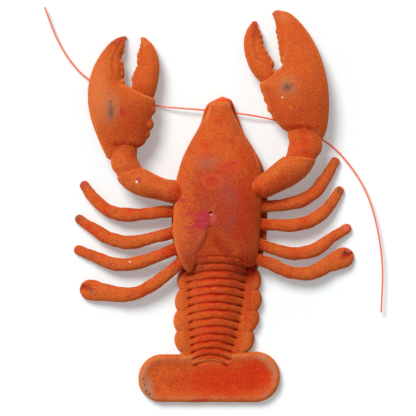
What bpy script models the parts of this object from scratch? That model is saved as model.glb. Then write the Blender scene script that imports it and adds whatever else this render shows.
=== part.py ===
"""Flocked toy lobster lying flat: domed shell, ribbed tail with a round-ended fan, two open claws
on jointed arms, eight tube legs and two springy plastic feelers.

Run it in Blender 4.5. The sizes below are millimetres, and MM turns them into metres.
Seen from above, +X is to the right, +Y runs towards the head and +Z is up. The floor is z = 0.
"""

import math

import bmesh
import bpy
import numpy as np
from mathutils import Matrix, Vector

MM = 0.001
CLEARANCE = 0.35  # space kept between two pieces that touch
BIG = 600.0  # side of a block that trims a piece by a level

# Shell and belly
SEAM_LEVEL = 10.0  # the shell's flat underside
BELLY_TOP = SEAM_LEVEL - CLEARANCE
SHELL_LEAN = 0.14  # sideways shift of the dome for each millimetre of height
SHELL_SIDES = 36
SHELL_RINGS = 30
SHELL_SQUARENESS = 2.35
SLANT_START = 22.0  # from here back the rings slant more and more, to end along the V
REAR_END = -61.5
REAR_SOFTNESS = 1.3  # how far the rear edge is turned down
BELLY_SIDES = 20
BELLY_RINGS = 24

# The inverted V of the shell's rear edge: (share of the half width, y). A tongue of the tail fills it.
REAR_EDGE = (
    (-1.0, -58.5),
    (-0.91, REAR_END),
    (-0.71, -55.6),
    (-0.53, -50.4),
    (-0.32, -40.7),
    (-0.185, -31.8),
    (-0.10, -19.0),
    (0.0, -20.5),
    (0.094, -26.6),
    (0.28, -37.0),
    (0.5, -46.7),
    (0.6, -51.9),
    (0.82, -57.2),
    (1.0, -55.6),
)

# (y, left x, right x, top z, z of the widest line)
SHELL_ROWS = (
    (90.9, -2.7, 16.2, 23.0, 15.0),
    (85.4, -4.2, 17.3, 25.5, 15.5),
    (75.6, -9.0, 21.9, 29.5, 16.0),
    (63.6, -16.2, 28.1, 33.5, 16.5),
    (52.1, -22.5, 35.6, 37.5, 17.0),
    (39.5, -28.1, 41.9, 41.5, 18.0),
    (25.7, -31.7, 44.6, 44.5, 18.5),
    (9.5, -33.8, 44.1, 46.0, 19.0),
    (-6.8, -34.8, 42.8, 46.5, 19.0),
    (-21.2, -35.4, 41.9, 45.5, 19.0),
    (-33.8, -34.2, 41.1, 44.0, 18.5),
    (-45.5, -30.9, 40.1, 41.5, 18.0),
    (-54.5, -27.0, 39.2, 39.0, 17.0),
    (REAR_END, -23.2, 37.2, 37.0, 16.0),
)

# (y, left x, right x, depth below the seam), from the peaked lower lip back to the last legs
BELLY_ROWS = (
    (97.6, 7.6, 9.5, 2.0),
    (95.2, 2.2, 15.8, 4.0),
    (91.6, -4.0, 18.0, 5.5),
    (85.4, -7.9, 20.2, 6.5),
    (75.6, -10.5, 23.9, 7.5),
    (63.6, -16.2, 28.4, 8.8),
    (50.0, -23.4, 36.9, 10.8),
    (36.5, -29.4, 44.1, 12.0),
    (18.5, -33.9, 48.2, 12.5),
    (-6.8, -36.7, 49.0, 12.5),
    (-22.0, -37.1, 48.6, 12.5),
    (-35.6, -35.3, 47.1, 12.0),
    (-47.3, -32.4, 43.7, 11.5),
    (-56.3, -28.4, 40.5, 11.0),
)

# Tail
GROOVES = 14
FIRST_GROOVE = -51.6
GROOVE_PITCH = 6.84
GROOVE_DRIFT = 2.1
GROOVE_DEPTH = 1.7
PIT_DEPTH = 1.5  # how much deeper a groove is at its two ends
RIB_PROFILE = ((0.0, 1.0), (0.3, 0.0), (0.7, 0.0))  # (share of the pitch, share of the groove's depth)
RIB_ARCH = 4.3
TONGUE_STEP = 1.4  # how far the tongue lies under the shell's surface
TONGUE_RINGS = (-15.0, -22.0, -29.0, -36.0, -42.5, -45.2, -48.0)
TONGUE_GROOVE = -45.2
BAND_STEPS = (0.0, 0.2, 0.45, 0.7, 0.88, 1.0)  # shares of the half width of the ribs
FLAP_EDGE_LEVEL = 4.0
LOBE_LENGTH = 18.7
LOBE_START = -57.0
LOBE_BULGE = 3.4

# (y, left x, right x, left end and right end of the ribs, top z of the ribs, top z of the side flap)
TAIL_ROWS = (
    (-15.0, -25.0, 34.0, -22.0, 30.0, 44.0, 12.0),
    (-36.0, -25.0, 37.0, -22.0, 31.0, 40.5, 12.0),
    (-50.9, -26.1, 39.5, -22.8, 31.0, 37.0, 12.0),
    (-60.8, -28.4, 39.6, -23.6, 31.0, 34.0, 12.0),
    (-78.8, -30.2, 40.8, -23.0, 28.6, 30.0, 11.8),
    (-97.2, -32.1, 39.4, -21.6, 25.6, 26.2, 11.5),
    (-116.1, -32.0, 34.9, -20.8, 22.0, 22.0, 11.0),
    (-128.5, -30.0, 32.5, -20.0, 18.6, 18.6, 10.4),
    (-132.2, -21.8, 19.5, -19.8, 17.4, 17.4, 10.2),
    (-141.0, -21.0, 16.0, -19.2, 14.0, 14.2, 9.6),
    (-148.5, -20.0, 14.0, -18.2, 12.0, 10.4, 9.2),
)

# Tail fan
FAN_LEFT = (-46.0, -155.3, 21.2)  # centre x, centre y and radius of each round end
FAN_RIGHT = (37.4, -153.9, 22.8)
FAN_ARC_STEPS = 13
FAN_EDGE_STEPS = 7
# (inset from the outline, z), from the underside out, up over the rim and into the dish
FAN_PROFILE = (
    (2.2, 0.0),
    (0.2, 2.2),
    (0.0, 6.4),
    (1.2, 9.4),
    (3.6, 10.6),
    (6.6, 10.0),
    (10.5, 8.9),
    (15.5, 8.5),
)

# Claws and arms: each row is a pair of facing edge points seen from above, the height of the
# middle and the half thickness there: (outer x, outer y, inner x, inner y, z, half thickness).
LEFT_CLAW = (
    (-95.6, 44.2, -88.6, 41.2, 21.0, 4.0),
    (-97.9, 48.4, -80.1, 46.4, 21.0, 7.5),
    (-101.3, 55.8, -62.8, 53.8, 20.5, 11.5),
    (-105.3, 65.7, -58.0, 64.8, 20.0, 14.5),
    (-109.4, 77.4, -55.4, 77.0, 20.0, 15.8),
    (-111.8, 89.6, -52.2, 88.0, 20.0, 16.0),
    (-112.3, 99.5, -53.1, 96.3, 19.5, 15.0),
    (-111.9, 106.2, -67.6, 103.6, 18.5, 13.5),
    (-110.7, 113.0, -80.7, 109.8, 17.0, 12.0),
    (-107.1, 124.2, -81.9, 122.0, 14.5, 10.5),
    (-101.3, 135.0, -82.9, 132.8, 12.0, 9.0),
    (-94.1, 144.5, -80.2, 142.2, 9.0, 7.2),
    (-86.9, 150.1, -78.9, 147.6, 5.7, 5.3),
    (-81.5, 151.9, -77.8, 149.9, 3.2, 3.6),
)
LEFT_THUMB = (
    (-55.8, 88.7, -72.0, 94.1, 18.5, 9.5),
    (-53.1, 96.6, -73.1, 105.3, 17.5, 10.5),
    (-50.2, 106.2, -71.2, 113.4, 16.5, 10.3),
    (-48.4, 116.6, -67.5, 120.6, 15.0, 9.7),
    (-48.1, 126.5, -65.0, 128.4, 13.0, 8.8),
    (-50.2, 136.4, -64.8, 137.0, 10.5, 7.7),
    (-54.4, 144.9, -64.6, 144.5, 6.6, 6.0),
    (-59.9, 150.1, -65.1, 149.4, 3.5, 4.0),
)
RIGHT_CLAW = (
    (98.6, 60.8, 93.4, 59.2, 21.0, 4.0),
    (100.9, 65.2, 80.6, 63.9, 21.0, 8.0),
    (102.6, 71.6, 64.6, 67.0, 20.5, 11.5),
    (103.7, 81.5, 54.0, 78.6, 20.0, 14.5),
    (104.0, 91.4, 47.9, 90.9, 20.0, 16.0),
    (103.5, 101.3, 43.9, 101.3, 20.0, 16.2),
    (102.6, 110.3, 41.9, 109.8, 19.5, 15.5),
    (101.1, 117.9, 51.0, 117.5, 18.5, 14.2),
    (99.5, 124.2, 61.0, 124.2, 17.3, 13.0),
    (96.8, 133.2, 62.6, 132.3, 15.5, 11.8),
    (92.3, 143.6, 61.2, 141.3, 13.2, 10.4),
    (85.5, 155.3, 59.0, 151.2, 10.5, 8.6),
    (77.4, 165.6, 56.9, 159.3, 7.6, 6.6),
    (68.4, 173.3, 55.6, 165.6, 4.8, 4.9),
    (59.9, 175.5, 53.6, 171.0, 3.1, 3.6),
)
RIGHT_THUMB = (
    (51.3, 101.3, 64.8, 113.9, 18.5, 9.5),
    (42.3, 110.3, 54.4, 121.8, 17.5, 10.0),
    (35.6, 118.4, 51.2, 128.0, 16.5, 9.8),
    (30.9, 127.6, 46.9, 134.8, 15.0, 9.2),
    (28.1, 137.7, 43.7, 142.0, 12.5, 8.4),
    (27.6, 148.1, 43.2, 150.0, 9.7, 7.2),
    (30.2, 157.5, 41.0, 157.5, 6.0, 5.6),
    (34.7, 164.3, 40.1, 163.4, 3.3, 3.9),
)
LEFT_ARM = (
    (-24.3, 22.1, -24.3, -0.5, 25.0, 12.5),
    (-33.3, 22.7, -36.5, 1.8, 25.0, 12.8),
    (-42.3, 23.9, -49.5, 5.0, 24.5, 13.0),
    (-50.9, 27.5, -63.0, 7.8, 24.0, 13.2),
    (-56.3, 30.3, -75.6, 13.1, 23.5, 13.2),
    (-59.9, 32.2, -84.6, 21.6, 23.0, 12.8),
    (-63.9, 32.9, -84.6, 25.2, 23.0, 11.8),
)
RIGHT_ARM = (
    (35.6, 24.3, 37.4, 9.0, 27.0, 10.5),
    (43.2, 28.5, 47.3, 6.8, 26.5, 12.6),
    (51.8, 35.1, 60.3, 12.3, 25.5, 13.0),
    (58.1, 40.2, 72.9, 18.5, 24.5, 13.2),
    (61.9, 42.9, 83.7, 26.6, 23.5, 13.2),
    (63.0, 43.5, 90.5, 36.5, 23.0, 12.8),
    (66.6, 43.7, 90.9, 40.5, 23.0, 11.8),
)
LEFT_WRIST = (
    (-55.8, 22.1, -76.5, 14.9, 22.5, 9.5),
    (-60.8, 32.4, -86.0, 24.8, 22.0, 11.3),
    (-65.3, 37.4, -89.4, 31.1, 21.5, 11.5),
    (-68.0, 43.2, -91.5, 37.8, 21.3, 11.5),
    (-68.1, 50.4, -91.4, 44.6, 21.0, 11.5),
    (-68.4, 60.8, -90.9, 56.3, 20.5, 11.0),
)
RIGHT_WRIST = (
    (84.6, 31.1, 66.6, 34.7, 22.5, 9.5),
    (92.1, 40.1, 63.5, 42.8, 22.0, 11.3),
    (96.3, 46.8, 66.4, 50.0, 21.5, 11.5),
    (97.8, 53.1, 68.2, 56.3, 21.3, 11.5),
    (96.9, 59.9, 66.9, 63.0, 21.0, 11.5),
    (92.7, 70.7, 67.5, 74.3, 20.5, 11.0),
)
CLAW_SIDES = 22
CLAW_RINGS = 26
FINGER_SIDES = 16
FINGER_RINGS = 13
ARM_SIDES = 18
ARM_RINGS = 10
LIMB_SQUARENESS = 2.2
TIP_DOME = 2.4
CUFF_DOME = 2.6
ROOT_DOME = 4.0
PALM_DOME = 1.6

# Rounded teeth and palm knobs: (x, y, z of the middle, radius)
LEFT_CLAW_TEETH = (
    (-81.2, 142.2, 9.5, 1.8),
    (-82.1, 137.3, 11.0, 2.0),
    (-83.9, 132.3, 12.5, 1.9),
    (-82.5, 126.5, 14.0, 2.2),
    (-82.0, 121.5, 15.0, 2.3),
    (-81.6, 116.6, 16.0, 2.3),
    (-81.0, 111.6, 17.0, 2.3),
)
LEFT_THUMB_TEETH = (
    (-70.8, 113.9, 16.0, 2.2),
    (-69.1, 118.4, 15.2, 2.1),
    (-67.5, 122.4, 14.2, 1.9),
    (-66.2, 128.7, 13.0, 2.2),
    (-66.3, 133.7, 11.5, 2.1),
    (-64.8, 138.2, 10.0, 1.9),
    (-63.9, 142.7, 8.0, 1.7),
)
RIGHT_CLAW_TEETH = (
    (58.1, 155.3, 9.3, 1.7),
    (59.4, 150.3, 10.8, 1.9),
    (60.3, 145.4, 12.2, 2.0),
    (60.9, 140.4, 13.5, 2.1),
    (61.7, 135.5, 14.6, 2.1),
    (62.4, 130.5, 15.6, 2.1),
)
RIGHT_THUMB_TEETH = (
    (41.2, 155.7, 7.2, 1.6),
    (42.8, 151.2, 9.0, 1.8),
    (43.2, 146.3, 10.5, 2.0),
    (44.1, 141.3, 12.2, 2.1),
    (46.8, 136.8, 13.6, 2.3),
    (49.5, 132.3, 15.0, 2.3),
    (52.2, 127.8, 16.0, 2.3),
)
LEFT_PALM_KNOBS = (
    (-55.8, 86.0, 20.0, 4.7),
    (-57.9, 72.9, 20.0, 4.9),
    (-60.2, 63.9, 20.0, 3.8),
)
RIGHT_PALM_KNOBS = (
    (45.9, 103.5, 20.0, 3.3),
    (48.6, 95.0, 20.0, 3.3),
    (51.8, 87.0, 20.0, 3.5),
    (56.3, 79.7, 20.0, 3.5),
)
TOOTH_HEIGHT = 1.35  # how much taller a tooth is than wide

# Legs: each is a path seen from above from inside the body to the tip. Pair 4 ends in a pincer.
LEG_PATHS = {
    "leg_left_1": ((-24.3, -4.5), (-45.9, -5.9), (-75.2, -8.4), (-95.4, -3.6), (-108.9, 9.0), (-118.2, 21.4)),
    "leg_left_2": ((-24.3, -21.6), (-45.9, -26.6), (-72.0, -33.1), (-91.8, -29.8), (-108.0, -20.3), (-123.6, -10.2)),
    "leg_left_3": ((-22.5, -33.8), (-41.4, -42.1), (-66.1, -50.9), (-86.4, -52.9), (-106.2, -45.9), (-124.7, -38.4)),
    "leg_left_4": ((-19.8, -41.9), (-36.9, -58.2), (-56.9, -72.9), (-73.8, -79.7), (-94.5, -78.5), (-119.6, -74.0)),
    "leg_right_1": ((30.6, -0.5), (47.7, -0.7), (69.3, 1.6), (88.6, 9.5), (100.8, 24.3), (111.8, 43.0)),
    "leg_right_2": ((30.6, -16.2), (51.8, -17.3), (77.4, -17.1), (94.1, -9.9), (105.3, 0.9), (115.7, 16.6)),
    "leg_right_3": ((33.3, -31.5), (51.3, -37.8), (71.1, -43.0), (90.5, -40.1), (107.1, -28.8), (124.0, -18.6)),
    "leg_right_4": ((30.6, -44.6), (49.5, -51.3), (68.4, -59.5), (86.4, -60.8), (105.3, -52.2), (125.8, -42.8)),
}
LEG_SIDES = 12
LEG_RINGS = 12
LEG_ROOT_LEVEL = 17.0
LEG_TIP_LEVEL = 2.4
# (share of the length, half width), for a plain leg and for one with a pincer
LEG_WIDTHS = ((0.0, 5.2), (0.3, 5.4), (0.55, 6.1), (0.8, 5.2), (1.0, 4.1))
PINCER_WIDTHS = ((0.0, 5.2), (0.3, 5.6), (0.6, 6.2), (0.75, 7.6), (0.89, 9.0), (1.0, 8.2))
LEG_HEIGHT_SHARE = 0.96
PINCER_HEIGHT = 5.6
PINCER_TIP_LEVEL = 3.2
PINCER_NOTCH = (9.5, 3.4, 6.0)  # length, width at the mouth and depth from the top

# Feelers: (x, y, z) points from the snout outwards, passing under the claws
FEELER_RADIUS = 0.8
FEELER_SIDES = 6
FEELER_RINGS = 32
LEFT_FEELER = (
    (-2.0, 85.3, 9.9),
    (-27.9, 87.3, 7.2),
    (-52.2, 90.0, 3.6),
    (-81.9, 97.7, 2.2),
    (-110.7, 112.7, 2.6),
    (-127.3, 128.8, 3.8),
    (-140.4, 150.3, 5.0),
    (-151.1, 177.6, 6.4),
)
RIGHT_FEELER = (
    (15.0, 83.9, 9.9),
    (37.3, 80.5, 7.0),
    (54.0, 77.0, 4.4),
    (78.3, 69.8, 2.2),
    (98.2, 59.3, 2.8),
    (114.9, 45.9, 3.8),
    (132.8, 21.4, 5.0),
    (142.9, -2.3, 6.0),
    (149.5, -30.9, 6.8),
    (152.3, -59.6, 7.4),
    (151.1, -95.4, 7.8),
)

# Finishes: colour, roughness
FLOCK = ("orange flock", (0.72, 0.115, 0.02, 1.0), 0.95)
FILAMENT = ("coral filament", (0.93, 0.13, 0.07, 1.0), 0.35)


def clear_scene():
    for item in list(bpy.data.objects):
        bpy.data.objects.remove(item)


def material(finish):
    """The Principled material of a finish, made once and shared."""
    name, colour, roughness = finish
    found = bpy.data.materials.get(name)
    if found:
        return found
    made = bpy.data.materials.new(name)
    made.use_nodes = True
    shader = made.node_tree.nodes["Principled BSDF"]
    shader.inputs["Base Color"].default_value = colour
    shader.inputs["Roughness"].default_value = roughness
    shader.inputs["Metallic"].default_value = 0.0
    return made


def smoothstep(low, high, value):
    share = min(1.0, max(0.0, (value - low) / (high - low)))
    return share * share * (3 - 2 * share)


def curve_point(rows, u):
    """The row at u on one smooth curve through rows, where u counts rows from 0."""
    rows = np.asarray(rows, float)
    i = int(min(max(math.floor(u), 0), len(rows) - 2))
    t = u - i
    before = rows[i - 1] if i > 0 else 2 * rows[0] - rows[1]
    after = rows[i + 2] if i + 2 < len(rows) else 2 * rows[-1] - rows[-2]
    here, there = rows[i], rows[i + 1]
    return 0.5 * (
        2 * here
        + (there - before) * t
        + (2 * before - 5 * here + 4 * there - after) * t**2
        + (3 * here - before - 3 * there + after) * t**3
    )


def curve_rows(rows, count):
    """count rows spread evenly along the smooth curve through rows."""
    return [curve_point(rows, u) for u in np.linspace(0, len(rows) - 1, count)]


def row_at(rows, y):
    """The row of a table that runs towards -Y, read off straight between its neighbours at y."""
    table = np.asarray(rows, float)[::-1]
    return [float(np.interp(y, table[:, 0], table[:, k])) for k in range(table.shape[1])]


def oval(a, b, level, up, down, sides, squareness):
    """A closed ring of points: an oval across from a to b, rising up and falling down from level."""
    a, b = np.asarray(a, float), np.asarray(b, float)
    middle, half = (a + b) / 2, (b - a) / 2
    ring = []
    for k in range(sides):
        angle = 2 * math.pi * k / sides
        across = math.copysign(abs(math.cos(angle)) ** (2 / squareness), math.cos(angle))
        height = math.copysign(abs(math.sin(angle)) ** (2 / squareness), math.sin(angle))
        x, y = middle + half * across
        ring.append((x, y, level + height * (up if height > 0 else down)))
    return np.array(ring)


def dome(ring, inner_ring, length, steps=3):
    """Rings that close the end of a loft roundly, going out from ring, whose neighbour is inner_ring."""
    middle = ring.mean(axis=0)
    out = middle - inner_ring.mean(axis=0)
    out /= np.linalg.norm(out)
    made = []
    for k in range(1, steps + 1):
        angle = math.pi / 2 * k / (steps + 0.6)
        made.append(middle + (ring - middle) * math.cos(angle) + out * length * math.sin(angle))
    return made


def loft(name, rings, finish, laddered=False):
    """One closed object through rings of equal length. Each end is closed by a fan round its middle,
    or the last one, when laddered, by rungs between the upper and lower points of the same share."""
    mesh = bmesh.new()
    loops = [[mesh.verts.new(Vector(point) * MM) for point in ring] for ring in rings]
    sides = len(loops[0])
    for loop, following in zip(loops, loops[1:]):
        for k in range(sides):
            after = (k + 1) % sides
            mesh.faces.new((loop[k], loop[after], following[after], following[k]))
    if laddered:
        last = loops.pop()
        for k in range(sides // 2):
            corners = dict.fromkeys((last[k], last[k + 1], last[(sides - k - 1) % sides], last[(sides - k) % sides]))
            mesh.faces.new(tuple(corners))
    for loop in (loops[0],) if laddered else (loops[0], loops[-1]):
        middle = mesh.verts.new(sum((v.co for v in loop), Vector()) / sides)
        for k in range(sides):
            mesh.faces.new((loop[k], loop[(k + 1) % sides], middle))
    return finished(name, mesh, finish)


def finished(name, mesh, finish):
    """Turns a bmesh into a linked object with its faces pointing out."""
    bmesh.ops.recalc_face_normals(mesh, faces=mesh.faces)
    data = bpy.data.meshes.new(name)
    mesh.to_mesh(data)
    mesh.free()
    data.materials.append(material(finish))
    data.shade_smooth()
    data.set_sharp_from_angle(angle=math.radians(50))
    made = bpy.data.objects.new(name, data)
    bpy.context.scene.collection.objects.link(made)
    return made


def keep_largest(mesh):
    """Drops every loose surface of a bmesh but the one that encloses the most."""
    left = set(mesh.faces)
    surfaces = []
    while left:
        edge_of = [left.pop()]
        surface = set(edge_of)
        while edge_of:
            for edge in edge_of.pop().edges:
                for face in edge.link_faces:
                    if face in left:
                        left.discard(face)
                        surface.add(face)
                        edge_of.append(face)
        surfaces.append(surface)

    def volume(surface):
        return abs(sum(f.calc_center_median().dot(f.normal) * f.calc_area() for f in surface))

    surfaces.sort(key=volume)
    scraps = [face for surface in surfaces[:-1] for face in surface]
    bmesh.ops.delete(mesh, geom=scraps, context="FACES")


def combine(target, others, operation):
    """Applies one Boolean of target with the other objects, which are then removed."""
    group = bpy.data.collections.new(target.name + "_tools")
    bpy.context.scene.collection.children.link(group)
    for other in others:
        bpy.context.scene.collection.objects.unlink(other)
        group.objects.link(other)
    modifier = target.modifiers.new(operation.lower(), "BOOLEAN")
    modifier.operation = operation
    modifier.operand_type = "COLLECTION"
    modifier.collection = group
    bpy.context.view_layer.update()
    graph = bpy.context.evaluated_depsgraph_get()
    result = bpy.data.meshes.new_from_object(target.evaluated_get(graph))
    target.modifiers.remove(modifier)
    mesh = bmesh.new()
    mesh.from_mesh(result)
    keep_largest(mesh)
    bmesh.ops.triangulate(mesh, faces=mesh.faces)
    mesh.to_mesh(target.data)
    mesh.free()
    bpy.data.meshes.remove(result)
    for other in list(group.objects):
        bpy.data.objects.remove(other)
    bpy.data.collections.remove(group)
    return target


def grown(item):
    """A copy of item that stands out from it by the clearance all round, to cut a neighbour with."""
    mesh = bmesh.new()
    mesh.from_mesh(item.data)
    mesh.normal_update()
    for vert, out in [(v, v.normal.copy()) for v in mesh.verts]:
        vert.co += out * CLEARANCE * MM
    data = bpy.data.meshes.new(item.name + "_grown")
    mesh.to_mesh(data)
    mesh.free()
    made = bpy.data.objects.new(item.name + "_grown", data)
    bpy.context.scene.collection.objects.link(made)
    return made


def block(low, high):
    """A wide block between two levels."""
    mesh = bmesh.new()
    middle = Vector((0, 0, (low + high) / 2 * MM))
    size = Matrix.Diagonal((BIG * MM, BIG * MM, (high - low) * MM, 1.0))
    bmesh.ops.create_cube(mesh, size=1.0, matrix=Matrix.Translation(middle) @ size)
    data = bpy.data.meshes.new("block")
    mesh.to_mesh(data)
    mesh.free()
    made = bpy.data.objects.new("block", data)
    bpy.context.scene.collection.objects.link(made)
    return made


def trim_to_floor(item):
    """Cuts off what dips under the floor, which leaves the small flat that the piece rests on."""
    return combine(item, [block(-BIG / 2, 0.0)], "DIFFERENCE")


def shell_height(x, y):
    """The height of the shell's upper surface over a point of the floor."""
    _, left, right, top, level = row_at(SHELL_ROWS, y)
    middle, half = (left + right) / 2, (right - left) / 2
    height = top
    for _ in range(4):
        across = abs(x + SHELL_LEAN * (height - level) - middle) / half
        height = level + (top - level) * max(0.0, 1 - across**SHELL_SQUARENESS) ** (1 / SHELL_SQUARENESS)
    return height


def shell_ring(nominal, turned_down=0.0):
    """One ring of the shell. Its points lie on the plain dome, but it slants back along the rear V."""
    shares, edge = zip(*REAR_EDGE)
    slant = max(0.0, (SLANT_START - nominal) / (SLANT_START - REAR_END))
    ring = oval((-1.0, 0.0), (1.0, 0.0), 0.0, 1.0, 1.0, SHELL_SIDES, SHELL_SQUARENESS)
    for point in ring:
        share, rise = point[0], point[2]
        y = nominal + slant * (float(np.interp(share, shares, edge)) - REAR_END)
        _, left, right, top, level = row_at(SHELL_ROWS, y)
        if rise > 0:
            point[2] = level + rise * (top - level) - turned_down * rise
        else:
            point[2] = level + rise * (level - SEAM_LEVEL + 4)
        point[0] = (left + right) / 2 + share * (right - left) / 2 - SHELL_LEAN * (point[2] - level)
        point[1] = y
    return ring


def shell():
    """The domed shell from the blunt snout to the two rear lobes, flat underneath."""
    rings = [shell_ring(y) for y in np.linspace(SHELL_ROWS[0][0], REAR_END + REAR_SOFTNESS, SHELL_RINGS)]
    rings.append(shell_ring(REAR_END, REAR_SOFTNESS))
    snout = dome(rings[0], rings[1], 2.2, steps=2)
    made = loft("carapace", snout[::-1] + rings, FLOCK, laddered=True)
    return combine(made, [block(-BIG / 2, SEAM_LEVEL)], "DIFFERENCE")


def belly():
    """The lower half under the shell, flat where it lies on the floor, with the peaked lower lip."""
    rings = [
        oval((left, y), (right, y), BELLY_TOP, 6.0, depth, BELLY_SIDES, 2.6)
        for y, left, right, depth in curve_rows(BELLY_ROWS, BELLY_RINGS)
    ]
    made = loft("belly", rings, FLOCK)
    return combine(made, [block(BELLY_TOP, BIG / 2), block(-BIG / 2, 0.0)], "DIFFERENCE")


def groove_place(k):
    """The y of groove k at the tail's midline. The pitch swells a little half way down."""
    return FIRST_GROOVE - GROOVE_PITCH * k - GROOVE_DRIFT * math.sin(math.pi * (k / (GROOVES - 1)) ** 2)


def tail_ring(y, groove):
    """One ring across the tail whose midline is at y. groove runs from 0 on a rib to 1 in a groove."""
    edge_y = y - RIB_ARCH
    _, left, right, band_left, band_right, top, flap = row_at(TAIL_ROWS, edge_y)
    lobe = abs(math.sin(math.pi * (LOBE_START - edge_y) / LOBE_LENGTH)) ** 0.7
    bulge = LOBE_BULGE * lobe * smoothstep(-132.5, -127.0, edge_y) * smoothstep(-52.0, -60.0, edge_y)
    middle, half = (band_left + band_right) / 2, (band_right - band_left) / 2
    under_shell = smoothstep(-62.0, -44.0, y)

    def flap_points(edge, band, sign):
        return [
            (edge + sign * bulge, edge_y, FLAP_EDGE_LEVEL),
            (edge + sign * (bulge - 1.6), edge_y, flap - 1.6),
            (band + (edge - band) * 0.35, edge_y, flap),
        ]

    points = flap_points(left, band_left, -1)
    for v in [-step for step in BAND_STEPS[:0:-1]] + list(BAND_STEPS):
        x, here = middle + half * v, y - RIB_ARCH * v * v
        level = flap + 0.6 + (top - flap - 0.6) * (1 - abs(v) ** 2.4)
        if under_shell > 0:
            level += under_shell * (shell_height(x, here) - TONGUE_STEP - level)
        level -= groove * (GROOVE_DEPTH + PIT_DEPTH * smoothstep(0.6, 0.88, abs(v))) * (1 if abs(v) < 1 else 0.4)
        points.append((x, here, max(level, flap - 0.2)))
    points += flap_points(right, band_right, 1)[::-1]
    for share in (0.6, 0.0, -0.6):
        side = right if share > 0 else left
        points.append((side * abs(share), edge_y, 0.0))
    return np.array(points)


def tail():
    """The ribbed tail with a scalloped flap along each side and a tongue that fills the shell's V."""
    rings = [tail_ring(y, 0.6 if y == TONGUE_GROOVE else 0.0) for y in TONGUE_RINGS]
    for k in range(GROOVES):
        here = groove_place(k)
        pitch = here - groove_place(k + 1)
        for share, groove in RIB_PROFILE:
            rings.append(tail_ring(here - pitch * share, groove))
    return loft("tail", rings, FLOCK)


def fan_outline(inset):
    """The fan's outline seen from above, drawn in by inset: two round ends joined by straight edges."""
    (ax, ay, a), (bx, by, b) = FAN_LEFT, FAN_RIGHT
    points = []
    for (x, y, radius), start in (((bx, by, b), -90.0), ((ax, ay, a), 90.0)):
        for k in range(FAN_ARC_STEPS):
            angle = math.radians(start + 180.0 * k / (FAN_ARC_STEPS - 1))
            points.append((x + (radius - inset) * math.cos(angle), y + (radius - inset) * math.sin(angle)))
    right, left = points[:FAN_ARC_STEPS], points[FAN_ARC_STEPS:]
    top = np.linspace(right[-1], left[0], FAN_EDGE_STEPS + 1)[1:-1]
    bottom = np.linspace(left[-1], right[0], FAN_EDGE_STEPS + 1)[1:-1]
    return np.array(right + [tuple(p) for p in top] + left + [tuple(p) for p in bottom])


def tail_fan():
    """The tail fan: a thick plate with a soft raised rim round a shallow dish."""
    rings = []
    for inset, level in FAN_PROFILE:
        outline = fan_outline(inset)
        rings.append(np.column_stack([outline, np.full(len(outline), level)]))
    return loft("tail_fan", rings, FLOCK)


def limb_rings(rows, count, sides):
    """Oval rings across a limb given by its facing edge points."""
    return [
        oval((ax, ay), (bx, by), level, thick, thick, sides, LIMB_SQUARENESS)
        for ax, ay, bx, by, level, thick in curve_rows(rows, count)
    ]


def knobs(places):
    """Rounded teeth set into an edge, each a little taller than wide."""
    made = []
    for k, (x, y, level, radius) in enumerate(places):
        mesh = bmesh.new()
        place = Matrix.Translation(Vector((x, y, level)) * MM)
        stretch = Matrix.Diagonal((1.0, 1.0, TOOTH_HEIGHT, 1.0))
        bmesh.ops.create_icosphere(mesh, subdivisions=1, radius=radius * MM, matrix=place @ stretch)
        made.append(finished(f"tooth_{k}", mesh, FLOCK))
    return made


def claw(name, rows, teeth, palm_knobs):
    """The palm and its fixed finger. Returns the piece and the plain form that its thumb is cut by."""
    rings = limb_rings(rows, CLAW_RINGS, CLAW_SIDES)
    heel = dome(rings[0], rings[1], PALM_DOME, steps=2)
    rings += dome(rings[-1], rings[-2], TIP_DOME)
    made = loft(name, heel[::-1] + rings, FLOCK)
    cutter = grown(made)
    combine(made, knobs(teeth + palm_knobs), "UNION")
    return trim_to_floor(made), cutter


def thumb(name, rows, teeth):
    """The movable finger, whose root is still inside the palm."""
    rings = limb_rings(rows, FINGER_RINGS, FINGER_SIDES)
    rings += dome(rings[-1], rings[-2], TIP_DOME)
    return combine(loft(name, rings, FLOCK), knobs(teeth), "UNION")


def arm(name, rows, cuff):
    """A tube of an arm, with its root end rounded and its far end closed by a low dome."""
    rings = limb_rings(rows, ARM_RINGS, ARM_SIDES)
    root = dome(rings[0], rings[1], ROOT_DOME)
    rings += dome(rings[-1], rings[-2], cuff, steps=2)
    return loft(name, root[::-1] + rings, FLOCK)


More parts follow.
